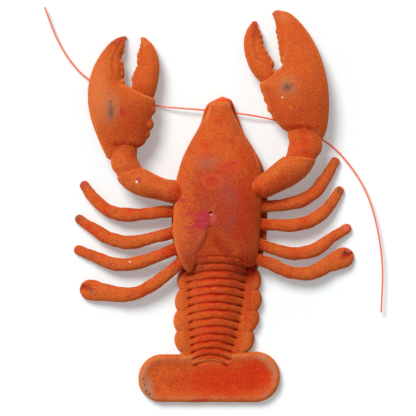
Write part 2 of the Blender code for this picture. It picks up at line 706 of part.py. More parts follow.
def leg(name, path):
    """A bent tube leg, from inside the body down to a tip that rests on the floor."""
    pincer = name.endswith("4")
    widths = np.array(PINCER_WIDTHS if pincer else LEG_WIDTHS)
    tip_level = PINCER_TIP_LEVEL if pincer else LEG_TIP_LEVEL
    line = np.array(curve_rows(path, 60))
    lengths = np.concatenate([[0.0], np.cumsum(np.linalg.norm(np.diff(line, axis=0), axis=1))])
    whole = lengths[-1]
    tip_round = widths[-1, 1]
    places = list(np.linspace(0, whole - tip_round, LEG_RINGS))
    shrink = [1.0] * LEG_RINGS
    for angle in (30, 57, 78):
        places.append(whole - tip_round + tip_round * math.sin(math.radians(angle)))
        shrink.append(math.cos(math.radians(angle)))
    rings = []
    for place, factor in zip(places, shrink):
        share = place / whole
        x, y = (np.interp(place, lengths, line[:, k]) for k in (0, 1))
        ahead = np.array([np.interp(place + 1.0, lengths, line[:, k]) for k in (0, 1)])
        behind = np.array([np.interp(place - 1.0, lengths, line[:, k]) for k in (0, 1)])
        along = (ahead - behind) / np.linalg.norm(ahead - behind)
        side = np.array([-along[1], along[0]])
        half = np.interp(share, widths[:, 0], widths[:, 1]) * factor
        height = min(half * LEG_HEIGHT_SHARE, PINCER_HEIGHT * factor) if pincer else half * LEG_HEIGHT_SHARE
        level = LEG_ROOT_LEVEL + (tip_level - LEG_ROOT_LEVEL) * share**2
        centre = np.array([x, y])
        rings.append(oval(centre - side * half, centre + side * half, level, height, height, LEG_SIDES, 2.1))
    made = loft(name, rings, FLOCK)
    if pincer:
        combine(made, [pincer_notch(line)], "DIFFERENCE")
    return trim_to_floor(made)


def pincer_notch(line):
    """A wedge that opens the tip of a rear leg like a small pincer."""
    length, width, depth = PINCER_NOTCH
    tip, back = line[-1], line[-6]
    along = (tip - back) / np.linalg.norm(tip - back)
    side = np.array([-along[1], along[0]])
    mesh = bmesh.new()
    corners = []
    top, floor = PINCER_TIP_LEVEL + PINCER_HEIGHT + 2, PINCER_TIP_LEVEL + PINCER_HEIGHT - depth
    for level, narrow in ((floor, 0.35), (top, 1.0)):
        inner = tip - along * length
        outer = tip + along * 2.0
        for centre, half in ((inner, 0.25), (outer, width / 2)):
            for sign in (-1, 1):
                x, y = centre + side * sign * half * narrow
                corners.append(mesh.verts.new(Vector((x, y, level)) * MM))
    bmesh.ops.convex_hull(mesh, input=corners)
    return finished("notch", mesh, FLOCK)


def feeler(name, points):
    """A thin springy filament that bows outwards just above the floor."""
    line = np.array(curve_rows(points, FEELER_RINGS))
    rings = []
    for k, centre in enumerate(line):
        ahead, behind = line[min(k + 1, len(line) - 1)], line[max(k - 1, 0)]
        along = Vector(ahead - behind).normalized()
        side = along.cross(Vector((0, 0, 1))).normalized()
        up = side.cross(along)
        ring = []
        for step in range(FEELER_SIDES):
            angle = 2 * math.pi * step / FEELER_SIDES
            offset = side * math.cos(angle) + up * math.sin(angle)
            ring.append(np.array(centre) + np.array(offset) * FEELER_RADIUS)
        rings.append(np.array(ring))
    return loft(name, rings, FILAMENT)


def build():
    clear_scene()
    carapace = shell()
    under = belly()
    tail_piece = combine(tail(), [grown(carapace), grown(under)], "DIFFERENCE")
    combine(tail_fan(), [grown(tail_piece)], "DIFFERENCE")

    for side, claw_rows, teeth, palm_knobs, thumb_rows, thumb_teeth, arm_rows, wrist_rows in (
        ("left", LEFT_CLAW, LEFT_CLAW_TEETH, LEFT_PALM_KNOBS, LEFT_THUMB, LEFT_THUMB_TEETH, LEFT_ARM, LEFT_WRIST),
        ("right", RIGHT_CLAW, RIGHT_CLAW_TEETH, RIGHT_PALM_KNOBS, RIGHT_THUMB, RIGHT_THUMB_TEETH, RIGHT_ARM, RIGHT_WRIST),
    ):
        palm, palm_cutter = claw(f"claw_{side}", claw_rows, teeth, palm_knobs)
        upper = combine(arm(f"arm_{side}", arm_rows, CUFF_DOME), [grown(carapace)], "DIFFERENCE")
        wrist = arm(f"wrist_{side}", wrist_rows, CUFF_DOME)
        combine(wrist, [grown(palm), grown(upper)], "DIFFERENCE")
        finger = thumb(f"thumb_{side}", thumb_rows, thumb_teeth)
        trim_to_floor(combine(finger, [palm_cutter], "DIFFERENCE"))

    for name, path in LEG_PATHS.items():
        combine(leg(name, path), [grown(carapace)], "DIFFERENCE")

    for name, points in (("feeler_left", LEFT_FEELER), ("feeler_right", RIGHT_FEELER)):
        combine(feeler(name, points), [grown(carapace), grown(under)], "DIFFERENCE")


build()
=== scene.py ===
"""The finished look of the flocked toy lobster: smooth moulded forms, velvet flock, wear and the stage."""

import math

import bmesh
import bpy
import numpy as np
from mathutils import Matrix, Vector, noise


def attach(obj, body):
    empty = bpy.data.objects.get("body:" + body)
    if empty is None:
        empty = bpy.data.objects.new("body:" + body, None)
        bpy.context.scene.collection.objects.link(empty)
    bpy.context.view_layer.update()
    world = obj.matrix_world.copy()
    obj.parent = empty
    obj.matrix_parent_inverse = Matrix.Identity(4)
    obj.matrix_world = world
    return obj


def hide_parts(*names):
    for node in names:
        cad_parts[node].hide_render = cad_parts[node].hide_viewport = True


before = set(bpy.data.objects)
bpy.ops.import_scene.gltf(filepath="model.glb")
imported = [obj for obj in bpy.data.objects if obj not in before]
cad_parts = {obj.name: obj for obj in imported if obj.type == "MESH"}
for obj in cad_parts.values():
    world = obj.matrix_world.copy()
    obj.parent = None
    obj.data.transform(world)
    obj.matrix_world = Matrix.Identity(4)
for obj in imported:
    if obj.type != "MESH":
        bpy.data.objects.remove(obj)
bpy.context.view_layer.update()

bl_info = {
    "name": "Flocked Toy Lobster",
    "version": (1, 0, 0),
    "blender": (4, 5, 0),
    "location": "View3D > Sidebar > Lobster",
    "description": "Models and finishes a worn, flocked toy lobster",
    "category": "Add Mesh",
}

MM = 0.001

# The photo's frame: its side in pixels, the millimetres for each pixel, and the pixel at the origin
PHOTO_SIDE = 416
PIXEL = 0.9
PHOTO_ORIGIN = (213.0, 205.5)

# Stage, in metres and degrees, but the lens and the sensor in millimetres
FLOOR_SIDE = 8.0
FLOOR_GLOW = 0.2
ROOM_LIGHT = 0.45
KEY_LIGHT = 3.5
KEY_SPREAD = 26.0
KEY_COLOUR = (1.0, 0.985, 0.96)
KEY_WAY = (0.42, -0.64, -1.0)
WHITE = (1.0, 1.0, 1.0, 1.0)
CAMERA_LENS = 400.0
CAMERA_SENSOR = 36.0
CAMERA_REACH = 50.0

# The moulded forms, in millimetres. They follow the named sizes of the part. Only the teeth are finer, the
# feelers' roots sink deeper into the belly, and the sides of the tail sink into the fan.
SEAM_LEVEL = 10.0
BELOW_SEAM = 4.0
BELLY_SEAM = 7.65
LIP_MIDDLE = 8.5
LIP_PEAK = 3.6
SNOUT_MIDDLE = 3.0
SHELL_LEAN = 0.14
SHELL_SQUARENESS = 2.35
SLANT_START = 22.0
REAR_END = -61.5

# The shell's rear V: (share of the half width, y)
REAR_EDGE = (
    (-1.0, -56.0), (-0.93, -59.0), (-0.84, -59.6), (-0.73, -56.8), (-0.53, -50.4), (-0.32, -40.7),
    (-0.185, -31.8), (-0.10, -19.0), (0.0, -20.5), (0.094, -26.6), (0.28, -37.0), (0.5, -46.7),
    (0.6, -51.9), (0.74, -54.9), (0.86, -54.9), (0.95, -52.0), (1.0, -48.0),
)

# How far ahead of the rear edge the shell starts to turn down, and how deep its edge is tucked in:
# (share of the half width, millimetres)
REAR_SOFTNESS = (
    (-1.0, 26.0), (-0.85, 22.0), (-0.55, 16.0), (-0.25, 14.0), (-0.1, 9.0),
    (0.0, 9.0), (0.12, 14.0), (0.4, 26.0), (0.7, 24.0), (1.0, 22.0),
)
REAR_TUCK = (
    (-1.0, 13.0), (-0.85, 9.5), (-0.55, 4.6), (-0.25, 3.6), (-0.1, 1.0),
    (0.1, 1.0), (0.4, 2.6), (0.7, 8.5), (1.0, 15.0),
)

# The crease on the left of the tail's tongue, and the shallow valley on its right: (x, y) of both ends
CREASE = ((-4.0, -19.4), (-15.3, -50.9))
VALLEY = ((1.8, -29.0), (17.0, -51.0))

# (y, left x, right x, top z, z of the widest line)
SHELL_ROWS = (
    (90.9, -2.7, 16.2, 23.0, 15.0),
    (85.4, -4.2, 17.3, 25.5, 15.5),
    (75.6, -9.0, 21.9, 29.5, 16.0),
    (63.6, -16.2, 28.1, 33.5, 16.5),
    (52.1, -22.5, 35.6, 37.5, 17.0),
    (39.5, -28.1, 41.9, 41.5, 18.0),
    (25.7, -31.7, 44.6, 44.5, 18.5),
    (9.5, -33.8, 44.1, 46.0, 19.0),
    (-6.8, -34.8, 42.8, 46.5, 19.0),
    (-21.2, -35.4, 41.9, 45.5, 19.0),
    (-33.8, -34.2, 41.1, 44.0, 18.5),
    (-45.5, -30.9, 40.1, 41.5, 18.0),
    (-54.5, -27.0, 39.2, 39.0, 17.0),
    (REAR_END, -23.2, 37.2, 37.0, 16.0),
)

# (y, left x, right x, depth below the seam)
BELLY_ROWS = (
    (97.6, 7.6, 9.5, 2.0),
    (95.2, 2.2, 15.8, 4.0),
    (91.6, -4.0, 18.0, 5.5),
    (85.4, -7.9, 20.2, 6.5),
    (75.6, -10.5, 23.9, 7.5),
    (63.6, -16.2, 28.4, 8.8),
    (50.0, -23.4, 36.9, 10.8),
    (36.5, -29.4, 44.1, 12.0),
    (18.5, -33.9, 48.2, 12.5),
    (-6.8, -36.7, 49.0, 12.5),
    (-22.0, -37.1, 48.6, 12.5),
    (-35.6, -35.3, 47.1, 12.0),
    (-47.3, -32.4, 43.7, 11.5),
    (-56.3, -28.4, 40.5, 11.0),
)

# Tail
GROOVES = 14
FIRST_GROOVE = -51.6
GROOVE_PITCH = 6.84
GROOVE_DRIFT = 2.1
RIB_ARCH = 4.3
TONGUE_STEP = 0.3
TONGUE_GROOVE = -45.2
LOBE_LENGTH = 18.7
LOBE_START = -57.0
LOBE_BULGE = 3.4
NOTCH_WIDTH = 0.16
FLAP_FOOT = 3.0
FLAP_ROUNDING = 4.5
FLAP_SQUARENESS = 2.4

# (y, left x, right x, left end and right end of the ribs, top z of the ribs, top z of the side flap)
TAIL_ROWS = (
    (-15.0, -25.0, 34.0, -22.0, 30.0, 44.0, 12.0),
    (-36.0, -25.0, 37.0, -22.0, 31.0, 40.5, 12.0),
    (-50.9, -26.1, 39.5, -22.8, 31.0, 37.0, 12.0),
    (-60.8, -28.4, 39.6, -23.6, 31.0, 34.0, 12.0),
    (-78.8, -30.2, 40.8, -23.0, 28.6, 30.0, 11.8),
    (-97.2, -32.1, 39.4, -21.6, 25.6, 26.2, 11.5),
    (-116.1, -32.0, 34.9, -20.8, 22.0, 22.0, 11.0),
    (-128.5, -30.0, 32.5, -20.0, 18.6, 18.0, 10.4),
    (-133.0, -28.2, 29.0, -19.8, 17.4, 15.8, 9.8),
    (-137.0, -26.0, 25.0, -19.4, 16.2, 13.6, 8.0),
    (-140.5, -24.0, 21.0, -19.0, 15.0, 11.6, 6.6),
    (-143.0, -23.0, 18.5, -18.6, 14.2, 9.9, 6.0),
    (-145.5, -22.0, 16.5, -18.2, 13.4, 7.6, 5.6),
    (-150.0, -21.0, 15.0, -17.8, 12.8, 6.0, 5.5),
)

# The lowest level of the ribs' ends where they run onto the fan: (y, z)
BAND_FOOT = (
    (-148.0, 0.0), (-145.5, 7.0), (-143.0, 8.9), (-140.5, 9.9), (-137.0, 10.9), (-133.0, 10.8),
    (-128.5, 9.0),
)

# Tail fan: its round ends as (x, y, radius), the points round each, and its rim as (distance in from
# the edge, z)
FAN_LEFT = (-46.0, -155.3, 21.2)
FAN_RIGHT = (37.4, -153.9, 22.8)
FAN_ARC = 110
FAN_PROFILE = (
    (2.2, 0.0), (0.2, 2.2), (0.0, 6.4), (1.2, 9.4), (3.6, 10.6), (6.6, 10.0), (10.5, 8.9), (15.5, 8.5),
)
PLATE_TOP = 8.5

# Claws, thumbs, arms and wrists: (outer x, outer y, inner x, inner y, z, half thickness)
LIMB_SQUARENESS = 2.2
LEFT_CLAW = (
    (-95.6, 44.2, -88.6, 41.2, 21.0, 4.0),
    (-97.9, 48.4, -80.1, 46.4, 21.0, 7.5),
    (-101.3, 55.8, -62.8, 53.8, 20.5, 11.5),
    (-105.3, 65.7, -58.0, 64.8, 20.0, 14.5),
    (-109.4, 77.4, -55.4, 77.0, 20.0, 15.8),
    (-111.8, 89.6, -52.2, 88.0, 20.0, 16.0),
    (-112.3, 99.5, -53.1, 96.3, 19.5, 15.0),
    (-111.9, 106.2, -67.6, 103.6, 18.5, 13.5),
    (-110.7, 113.0, -80.7, 109.8, 17.0, 12.0),
    (-107.1, 124.2, -81.9, 122.0, 14.5, 10.5),
    (-101.3, 135.0, -82.9, 132.8, 12.0, 9.0),
    (-94.1, 144.5, -80.2, 142.2, 9.0, 7.2),
    (-86.9, 150.1, -78.9, 147.6, 5.7, 5.3),
    (-81.5, 151.9, -77.8, 149.9, 3.2, 3.6),
)
LEFT_THUMB = (
    (-55.8, 88.7, -72.0, 94.1, 18.5, 9.5),
    (-53.1, 96.6, -73.1, 105.3, 17.5, 10.5),
    (-50.2, 106.2, -71.2, 113.4, 16.5, 10.3),
    (-48.4, 116.6, -67.5, 120.6, 15.0, 9.7),
    (-48.1, 126.5, -65.0, 128.4, 13.0, 8.8),
    (-50.2, 136.4, -64.8, 137.0, 10.5, 7.7),
    (-54.4, 144.9, -64.6, 144.5, 6.6, 6.0),
    (-59.9, 150.1, -65.1, 149.4, 3.5, 4.0),
)
RIGHT_CLAW = (
    (98.6, 60.8, 93.4, 59.2, 21.0, 4.0),
    (100.9, 65.2, 80.6, 63.9, 21.0, 8.0),
    (102.6, 71.6, 64.6, 67.0, 20.5, 11.5),
    (103.7, 81.5, 54.0, 78.6, 20.0, 14.5),
    (104.0, 91.4, 47.9, 90.9, 20.0, 16.0),
    (103.5, 101.3, 43.9, 101.3, 20.0, 16.2),
    (102.6, 110.3, 41.9, 109.8, 19.5, 15.5),
    (101.1, 117.9, 51.0, 117.5, 18.5, 14.2),
    (99.5, 124.2, 61.0, 124.2, 17.3, 13.0),
    (96.8, 133.2, 62.6, 132.3, 15.5, 11.8),
    (92.3, 143.6, 61.2, 141.3, 13.2, 10.4),
    (85.5, 155.3, 59.0, 151.2, 10.5, 8.6),
    (77.4, 165.6, 56.9, 159.3, 7.6, 6.6),
    (68.4, 173.3, 55.6, 165.6, 4.8, 4.9),
    (59.9, 175.5, 53.6, 171.0, 3.1, 3.6),
)
RIGHT_THUMB = (
    (51.3, 101.3, 64.8, 113.9, 18.5, 9.5),
    (42.3, 110.3, 54.4, 121.8, 17.5, 10.0),
    (35.6, 118.4, 51.2, 128.0, 16.5, 9.8),
    (30.9, 127.6, 46.9, 134.8, 15.0, 9.2),
    (28.1, 137.7, 43.7, 142.0, 12.5, 8.4),
    (27.6, 148.1, 43.2, 150.0, 9.7, 7.2),
    (30.2, 157.5, 41.0, 157.5, 6.0, 5.6),
    (34.7, 164.3, 40.1, 163.4, 3.3, 3.9),
)
LEFT_ARM = (
    (-24.3, 22.1, -24.3, -0.5, 25.0, 12.5),
    (-33.3, 22.7, -36.5, 1.8, 25.0, 12.8),
    (-42.3, 23.9, -49.5, 5.0, 24.5, 13.0),
    (-50.9, 27.5, -63.0, 7.8, 24.0, 13.2),
    (-56.3, 30.3, -75.6, 13.1, 23.5, 13.2),
    (-59.9, 32.2, -84.6, 21.6, 23.0, 12.8),
    (-63.9, 32.9, -84.6, 25.2, 23.0, 11.8),
)
RIGHT_ARM = (
    (35.6, 24.3, 37.4, 9.0, 27.0, 10.5),
    (43.2, 28.5, 47.3, 6.8, 26.5, 12.6),
    (51.8, 35.1, 60.3, 12.3, 25.5, 13.0),
    (58.1, 40.2, 72.9, 18.5, 24.5, 13.2),
    (61.9, 42.9, 83.7, 26.6, 23.5, 13.2),
    (63.0, 43.5, 90.5, 36.5, 23.0, 12.8),
    (66.6, 43.7, 90.9, 40.5, 23.0, 11.8),
)
LEFT_WRIST = (
    (-55.8, 22.1, -76.5, 14.9, 22.5, 9.5),
    (-60.8, 32.4, -86.0, 24.8, 22.0, 11.3),
    (-65.3, 37.4, -89.4, 31.1, 21.5, 11.5),
    (-68.0, 43.2, -91.5, 37.8, 21.3, 11.5),
    (-68.1, 50.4, -91.4, 44.6, 21.0, 11.5),
    (-68.4, 60.8, -90.9, 56.3, 20.5, 11.0),
)
RIGHT_WRIST = (
    (84.6, 31.1, 66.6, 34.7, 22.5, 9.5),
    (92.1, 40.1, 63.5, 42.8, 22.0, 11.3),
    (96.3, 46.8, 66.4, 50.0, 21.5, 11.5),
    (97.8, 53.1, 68.2, 56.3, 21.3, 11.5),
    (96.9, 59.9, 66.9, 63.0, 21.0, 11.5),
    (92.7, 70.7, 67.5, 74.3, 20.5, 11.0),
)

# The flat strips that carry the teeth: (first row, last row, level, border), as limb takes them
LEFT_CLAW_LEDGE = (7.4, 11.8, 0.79, 0.25)
RIGHT_CLAW_LEDGE = (8.2, 12.4, 0.46, 0.74)
RIGHT_THUMB_LEDGE = (1.4, 5.6, 0.78, 0.05)

# How high a tooth of a finger may stand, and the radius from which a tooth is a knob of the palm
TALLEST_TOOTH = 5.8
KNOB_RADIUS = 2.6

# Teeth and knobs: (x, y, z, radius)
LEFT_CLAW_TEETH = (
    (-81.2, 142.2, 9.5, 1.8), (-82.1, 137.3, 11.0, 2.0), (-83.9, 132.3, 12.5, 1.9),
    (-82.5, 126.5, 14.0, 2.2), (-82.0, 121.5, 15.0, 2.3), (-81.6, 116.6, 16.0, 2.3),
    (-81.0, 111.6, 17.0, 1.4), (-55.8, 86.0, 20.0, 4.7), (-57.9, 72.9, 20.0, 4.9),
    (-60.2, 63.9, 20.0, 3.8),
)
LEFT_THUMB_TEETH = (
    (-70.8, 113.9, 16.0, 2.2), (-69.1, 118.4, 15.2, 2.1), (-67.5, 122.4, 14.2, 1.9),
    (-66.2, 128.7, 13.0, 2.2), (-66.3, 133.7, 11.5, 2.1), (-64.8, 138.2, 10.0, 1.9),
    (-63.9, 142.7, 8.0, 1.7),
)
RIGHT_CLAW_TEETH = (
    (58.1, 155.3, 9.3, 1.7), (59.4, 150.3, 10.8, 1.9), (60.3, 145.4, 12.2, 2.0),
    (60.9, 140.4, 13.5, 2.1), (61.7, 135.5, 14.6, 2.1), (62.4, 130.5, 15.6, 2.1),
    (45.9, 103.5, 20.0, 3.3), (48.6, 95.0, 20.0, 3.3), (51.8, 87.0, 20.0, 3.5),
    (56.3, 79.7, 20.0, 3.5),
)
RIGHT_THUMB_TEETH = (
    (41.2, 155.7, 7.2, 1.6), (42.8, 151.2, 9.0, 1.8), (43.2, 146.3, 10.5, 2.0),
    (44.1, 141.3, 12.2, 2.1), (46.8, 136.8, 13.6, 2.3), (49.5, 132.3, 15.0, 2.3),
    (52.2, 127.8, 16.0, 2.3),
)

LEG_PATHS = {
    "leg_left_1": (
        (-24.3, -4.5), (-45.9, -5.9), (-75.2, -8.4), (-95.4, -3.6), (-108.9, 9.0), (-118.2, 21.4),
    ),
    "leg_left_2": (
        (-24.3, -21.6), (-45.9, -26.6), (-72.0, -33.1), (-91.8, -29.8), (-108.0, -20.3), (-123.6, -10.2),
    ),
    "leg_left_3": (
        (-22.5, -33.8), (-41.4, -42.1), (-66.1, -50.9), (-86.4, -52.9), (-106.2, -45.9), (-124.7, -38.4),
    ),
    "leg_left_4": (
        (-19.8, -41.9), (-36.9, -58.2), (-56.9, -72.9), (-73.8, -79.7), (-94.5, -78.5), (-119.6, -74.0),
    ),
    "leg_right_1": (
        (30.6, -0.5), (47.7, -0.7), (69.3, 1.6), (88.6, 9.5), (100.8, 24.3), (111.8, 43.0),
    ),
    "leg_right_2": (
        (30.6, -16.2), (51.8, -17.3), (77.4, -17.1), (94.1, -9.9), (105.3, 0.9), (115.7, 16.6),
    ),
    "leg_right_3": (
        (33.3, -31.5), (51.3, -37.8), (71.1, -43.0), (90.5, -40.1), (107.1, -28.8), (124.0, -18.6),
    ),
    "leg_right_4": (
        (30.6, -44.6), (49.5, -51.3), (68.4, -59.5), (86.4, -60.8), (105.3, -52.2), (125.8, -42.8),
    ),
}
LEG_ROOT_LEVEL = 17.0
LEG_TIP_LEVEL = 2.4
PINCER_TIP_LEVEL = 3.2
LEG_WIDTHS = ((0.0, 5.2), (0.3, 5.4), (0.55, 6.1), (0.8, 5.2), (1.0, 4.1))
PINCER_WIDTHS = ((0.0, 5.2), (0.3, 5.6), (0.6, 6.2), (0.75, 7.6), (0.89, 9.0), (1.0, 8.2))
PINCER_HEIGHT = 5.6
PINCER_CLEFT = 2.6
LEG_FLATNESS = 0.96

LEFT_FEELER = (
    (-2.0, 85.3, 7.4), (-27.9, 87.3, 7.2), (-52.2, 90.0, 3.6), (-81.9, 97.7, 2.2),
    (-110.7, 112.7, 2.6), (-127.3, 128.8, 3.8), (-140.4, 150.3, 5.0), (-151.1, 177.6, 6.4),
)
RIGHT_FEELER = (
    (15.0, 83.9, 7.2), (37.3, 80.5, 7.0), (54.0, 77.0, 4.4), (78.3, 69.8, 2.2), (98.2, 59.3, 2.8),
    (114.9, 45.9, 3.8), (132.8, 21.4, 5.0), (142.9, -2.3, 6.0), (149.5, -30.9, 6.8),
    (152.3, -59.6, 7.4), (151.1, -95.4, 7.8),
)


def measure(name, words, value, low, high):
    """One number of the panel."""
    return bpy.props.FloatProperty(name=name, description=words, default=value, min=low, max=high)


def colour(name, words, value):
    """One colour of the panel."""
    return bpy.props.FloatVectorProperty(
        name=name, description=words, default=value, subtype="COLOR", size=3, min=0, max=1,
    )


class LobsterSizes(bpy.types.PropertyGroup):
    """Sizes of the small forms and of the grain, in millimetres. The tooth height is a ratio."""

    lumps: measure("Lumps", "Height of the moulding's soft unevenness", 0.16, 0, 1)
    leg_lumps: measure("Leg Lumps", "Height of the legs' unevenness", 0.45, 0, 1.5)
    groove_depth: measure("Groove Depth", "Depth of the grooves between the tail's ribs", 1.85, 0, 3)
    crease_depth: measure("Crease Depth", "Depth of the crease beside the tail's tongue", 2.2, 0, 4)
    valley_depth: measure("Valley Depth", "Depth of the valley on the tongue's right", 1.7, 0, 3)
    pit_depth: measure("Pit Depth", "Extra depth at the ends of each groove", 1.3, 0, 3)
    groove_width: measure("Groove Width", "Half width of a groove", 1.08, 0.3, 3)
    flock_grain: measure("Flock Grain", "Size of one clump of fibres", 0.45, 0.1, 2)
    tooth_height: measure("Tooth Height", "How much taller a tooth is than wide", 1.35, 1, 2)
    feeler_radius: measure("Feeler Radius", "Radius of a feeler", 0.8, 0.3, 2)


class LobsterColours(bpy.types.PropertyGroup):
    """Colours of the flock, of the vinyl below it and of the stage."""

    orange: colour("Orange Flock", "Flock on the claws, the legs and raised places", (0.552, 0.098, 0.018))
    # The red flock is the redder tone of the fan and shell, and it is also painted shade on the shell's
    # right side and at the arms' roots
    red: colour("Red Flock", "Flock on the fan and the shell's right side", (0.545, 0.034, 0.006))
    # The rim colour is laid on raised rims as wear and as painted highlight, and on steep sides as painted
    # sheen
    rim: colour("Worn Rims", "Flock worn thin on rims", (0.66, 0.17, 0.036))
    # hollow_shade is painted shade: a dark red laid in grooves, creases and joints, where shade falls
    hollow_shade: colour("Hollows", "Flock in grooves and joints", (0.25, 0.005, 0.002))
    vinyl: colour("Bare Vinyl", "Crimson vinyl where the flock has come off", (0.38, 0.025, 0.035))
    feeler: colour("Feeler", "The feelers' plastic", (0.84, 0.135, 0.055))
    floor: colour("Floor", "The floor", (0.596, 0.645, 0.655))


class Field:
    """A number, place or colour that varies over a surface, so that shader sums read as expressions."""

    def __init__(self, tree, socket):
        self.tree = tree
        self.socket = socket

    def node(self, kind, settings=None, out=0, **inputs):
        """One more node. Its settings are made first, then its inputs.

        An input goes by its name, with _ for a space, or by n and its number.
        """
        made = self.tree.nodes.new(kind)
        for key, value in (settings or {}).items():
            setattr(made, key, value)
        for key, value in inputs.items():
            number = key[1:]
            socket = made.inputs[int(number) if number.isdigit() else key.replace("_", " ")]
            if isinstance(value, Field):
                self.tree.links.new(value.socket, socket)
            else:
                socket.default_value = value
        return Field(self.tree, made.outputs[out])

    def maths(self, operation, a, b):
        return self.node("ShaderNodeMath", {"operation": operation}, n0=a, n1=b)

    def __add__(self, other):
        return self.maths("ADD", self, other)

    def __radd__(self, other):
        return self.maths("ADD", other, self)

    def __sub__(self, other):
        return self.maths("SUBTRACT", self, other)

    def __rsub__(self, other):
        return self.maths("SUBTRACT", other, self)

    def __mul__(self, other):
        return self.maths("MULTIPLY", self, other)

    def __rmul__(self, other):
        return self.maths("MULTIPLY", other, self)

    def either(self, other):
        return self.maths("MAXIMUM", self, other)

    def vector(self, operation, out=0, **inputs):
        return self.node("ShaderNodeVectorMath", {"operation": operation}, out, n0=self, **inputs)

    def between(self, low, high):
        """0 up to low, 1 from high, smooth between. low may be the larger."""
        if low > high:
            return 1 - self.between(high, low)
        smooth = {"interpolation_type": "SMOOTHSTEP"}
        return self.node("ShaderNodeMapRange", smooth, Value=self, From_Min=low, From_Max=high)

    def grain(self, size, detail=2.0, rough=0.6):
        """Cloudy noise whose features are about size millimetres across."""
        return self.node("ShaderNodeTexNoise", Vector=self, Scale=1 / size, Detail=detail, Roughness=rough)

    def stored(self, name):
        """The number that store kept for each point."""
        return self.node("ShaderNodeAttribute", {"attribute_name": name}, out=2)

    def spot(self, where, soft, ragged, size=2.5):
        """A ragged oval seen from above. where is (x, y, rx, ry, turn), in millimetres and degrees."""
        x, y, rx, ry, turn = where
        flat = self.vector("MULTIPLY", n1=(1, 1, 0))
        placed = flat.node(
            "ShaderNodeMapping", {"vector_type": "TEXTURE"}, Vector=flat,
            Location=(x, y, 0), Rotation=(0, 0, math.radians(turn)), Scale=(rx, ry, 1),
        )
        far = placed.vector("LENGTH", out=1) + (self.grain(size, 3.0) - 0.5) * (2 * ragged)
        return far.between(1 + soft, 1 - soft)


def painted(base, tone, share):
    """The base colour with a share of another tone laid over it. The share varies over the surface."""
    below = base if isinstance(base, Field) else (*base, 1.0)
    return share.node("ShaderNodeMix", {"data_type": "RGBA"}, out=2, n0=share, n6=below, n7=(*tone, 1.0))


def shaded(base, amount):
    """The base colour made lighter or darker by an amount round 1, which varies over the surface."""
    return amount.node("ShaderNodeVectorMath", {"operation": "SCALE"}, n0=base, Scale=amount)


def px(x, y):
    """A place on the photo's grid as millimetres on the floor."""
    return (x - PHOTO_ORIGIN[0]) * PIXEL, (PHOTO_ORIGIN[1] - y) * PIXEL


def seen(*marks):
    """Marks whose places are given on the photo's grid, with their places in millimetres."""
    return tuple((kind, *px(x, y), *rest) for kind, x, y, *rest in marks)


def read_off(pairs, place):
    """The value at place on the straight lines through (place, value) pairs."""
    return np.interp(place, *np.asarray(pairs, float).T)


def smoothstep(low, high, value):
    """0 up to low, 1 from high, smooth between. low may be the larger."""
    share = np.clip((np.asarray(value, float) - low) / (high - low), 0, 1)
    return share * share * (3 - 2 * share)


def curve_point(rows, u):
    """The row at place u, counted in rows, along one smooth curve through rows."""
    rows = np.asarray(rows, float)
    i = int(min(max(math.floor(u), 0), len(rows) - 2))
    t = u - i
    before = rows[i - 1] if i > 0 else 2 * rows[0] - rows[1]
    after = rows[i + 2] if i + 2 < len(rows) else 2 * rows[-1] - rows[-2]
    here, there = rows[i], rows[i + 1]
    return 0.5 * (
        2 * here
        + (there - before) * t
        + (2 * before - 5 * here + 4 * there - after) * t**2
        + (3 * here - before - 3 * there + after) * t**3
    )


def curve_rows(rows, count):
    """count rows spread evenly along one smooth curve through rows."""
    return np.array([curve_point(rows, u) for u in np.linspace(0, len(rows) - 1, count)])


def rows_by_y(rows):
    """A function that reads the smooth table off at any y, one array for each column."""
    table = curve_rows(rows, 500)[::-1]
    return lambda y: [np.interp(y, table[:, 0], table[:, k]) for k in range(table.shape[1])]


def turns(sides):
    """Angles that go once round in equal steps."""
    return 2 * math.pi * np.arange(sides) / sides


def oval(a, b, level, up, down, sides, squareness):
    """A ring of points: an oval across from a to b, rising up and falling down from level."""
    angle = turns(sides)
    across = np.sign(np.cos(angle)) * np.abs(np.cos(angle)) ** (2 / squareness)
    height = np.sign(np.sin(angle)) * np.abs(np.sin(angle)) ** (2 / squareness)
    middle, half = (np.asarray(a, float) + b) / 2, (np.asarray(b, float) - a) / 2
    flat = middle + half * across[:, None]
    return np.column_stack([flat, level + np.where(height > 0, height * up, height * down)])


def dome(ring, inner_ring, length, steps=10):
    """Rings that close an end roundly, going out from ring, whose neighbour is inner_ring."""
    middle = ring.mean(axis=0)
    out = middle - inner_ring.mean(axis=0)
    out /= np.linalg.norm(out)
    angles = [math.pi / 2 * k / steps for k in range(1, steps + 1)]
    return [middle + (ring - middle) * math.cos(a) + out * length * math.sin(a) for a in angles]


def capped(rings, start, end, steps=10):
    """The rings with both ends closed roundly, reaching start and end millimetres out."""
    before, after = dome(rings[0], rings[1], start, steps), dome(rings[-1], rings[-2], end, steps)
    return before[-2::-1] + rings + after[:-1]


def skin(name, rings, folded=None):
    """A closed mesh object through rings of equal length: a grid rolled into a tube with closed ends.

    With folded, the last end is folded flat, and its point k meets its point folded - k.
    """
    rings = np.array(rings)
    first, last = rings[0].mean(axis=0), rings[-1].mean(axis=0)
    if folded is not None:
        last = (rings[-1] + rings[-1][(folded - np.arange(len(rings[-1]))) % len(rings[-1])]) / 2
    first, last = (np.broadcast_to(end, rings[0].shape) for end in (first, last))
    rings = np.concatenate([[first], rings, [last]])
    count, sides = rings.shape[:2]
    bm = bmesh.new()
    bmesh.ops.create_grid(bm, x_segments=sides, y_segments=count - 1, size=1.0)
    for vert in bm.verts:
        k = round((vert.co.x + 1) / 2 * sides) % sides
        j = round((vert.co.y + 1) / 2 * (count - 1))
        vert.co = Vector(rings[j, k]) * MM
    bmesh.ops.remove_doubles(bm, verts=bm.verts, dist=2e-6)
    bmesh.ops.recalc_face_normals(bm, faces=bm.faces)
    return linked(name, bm)


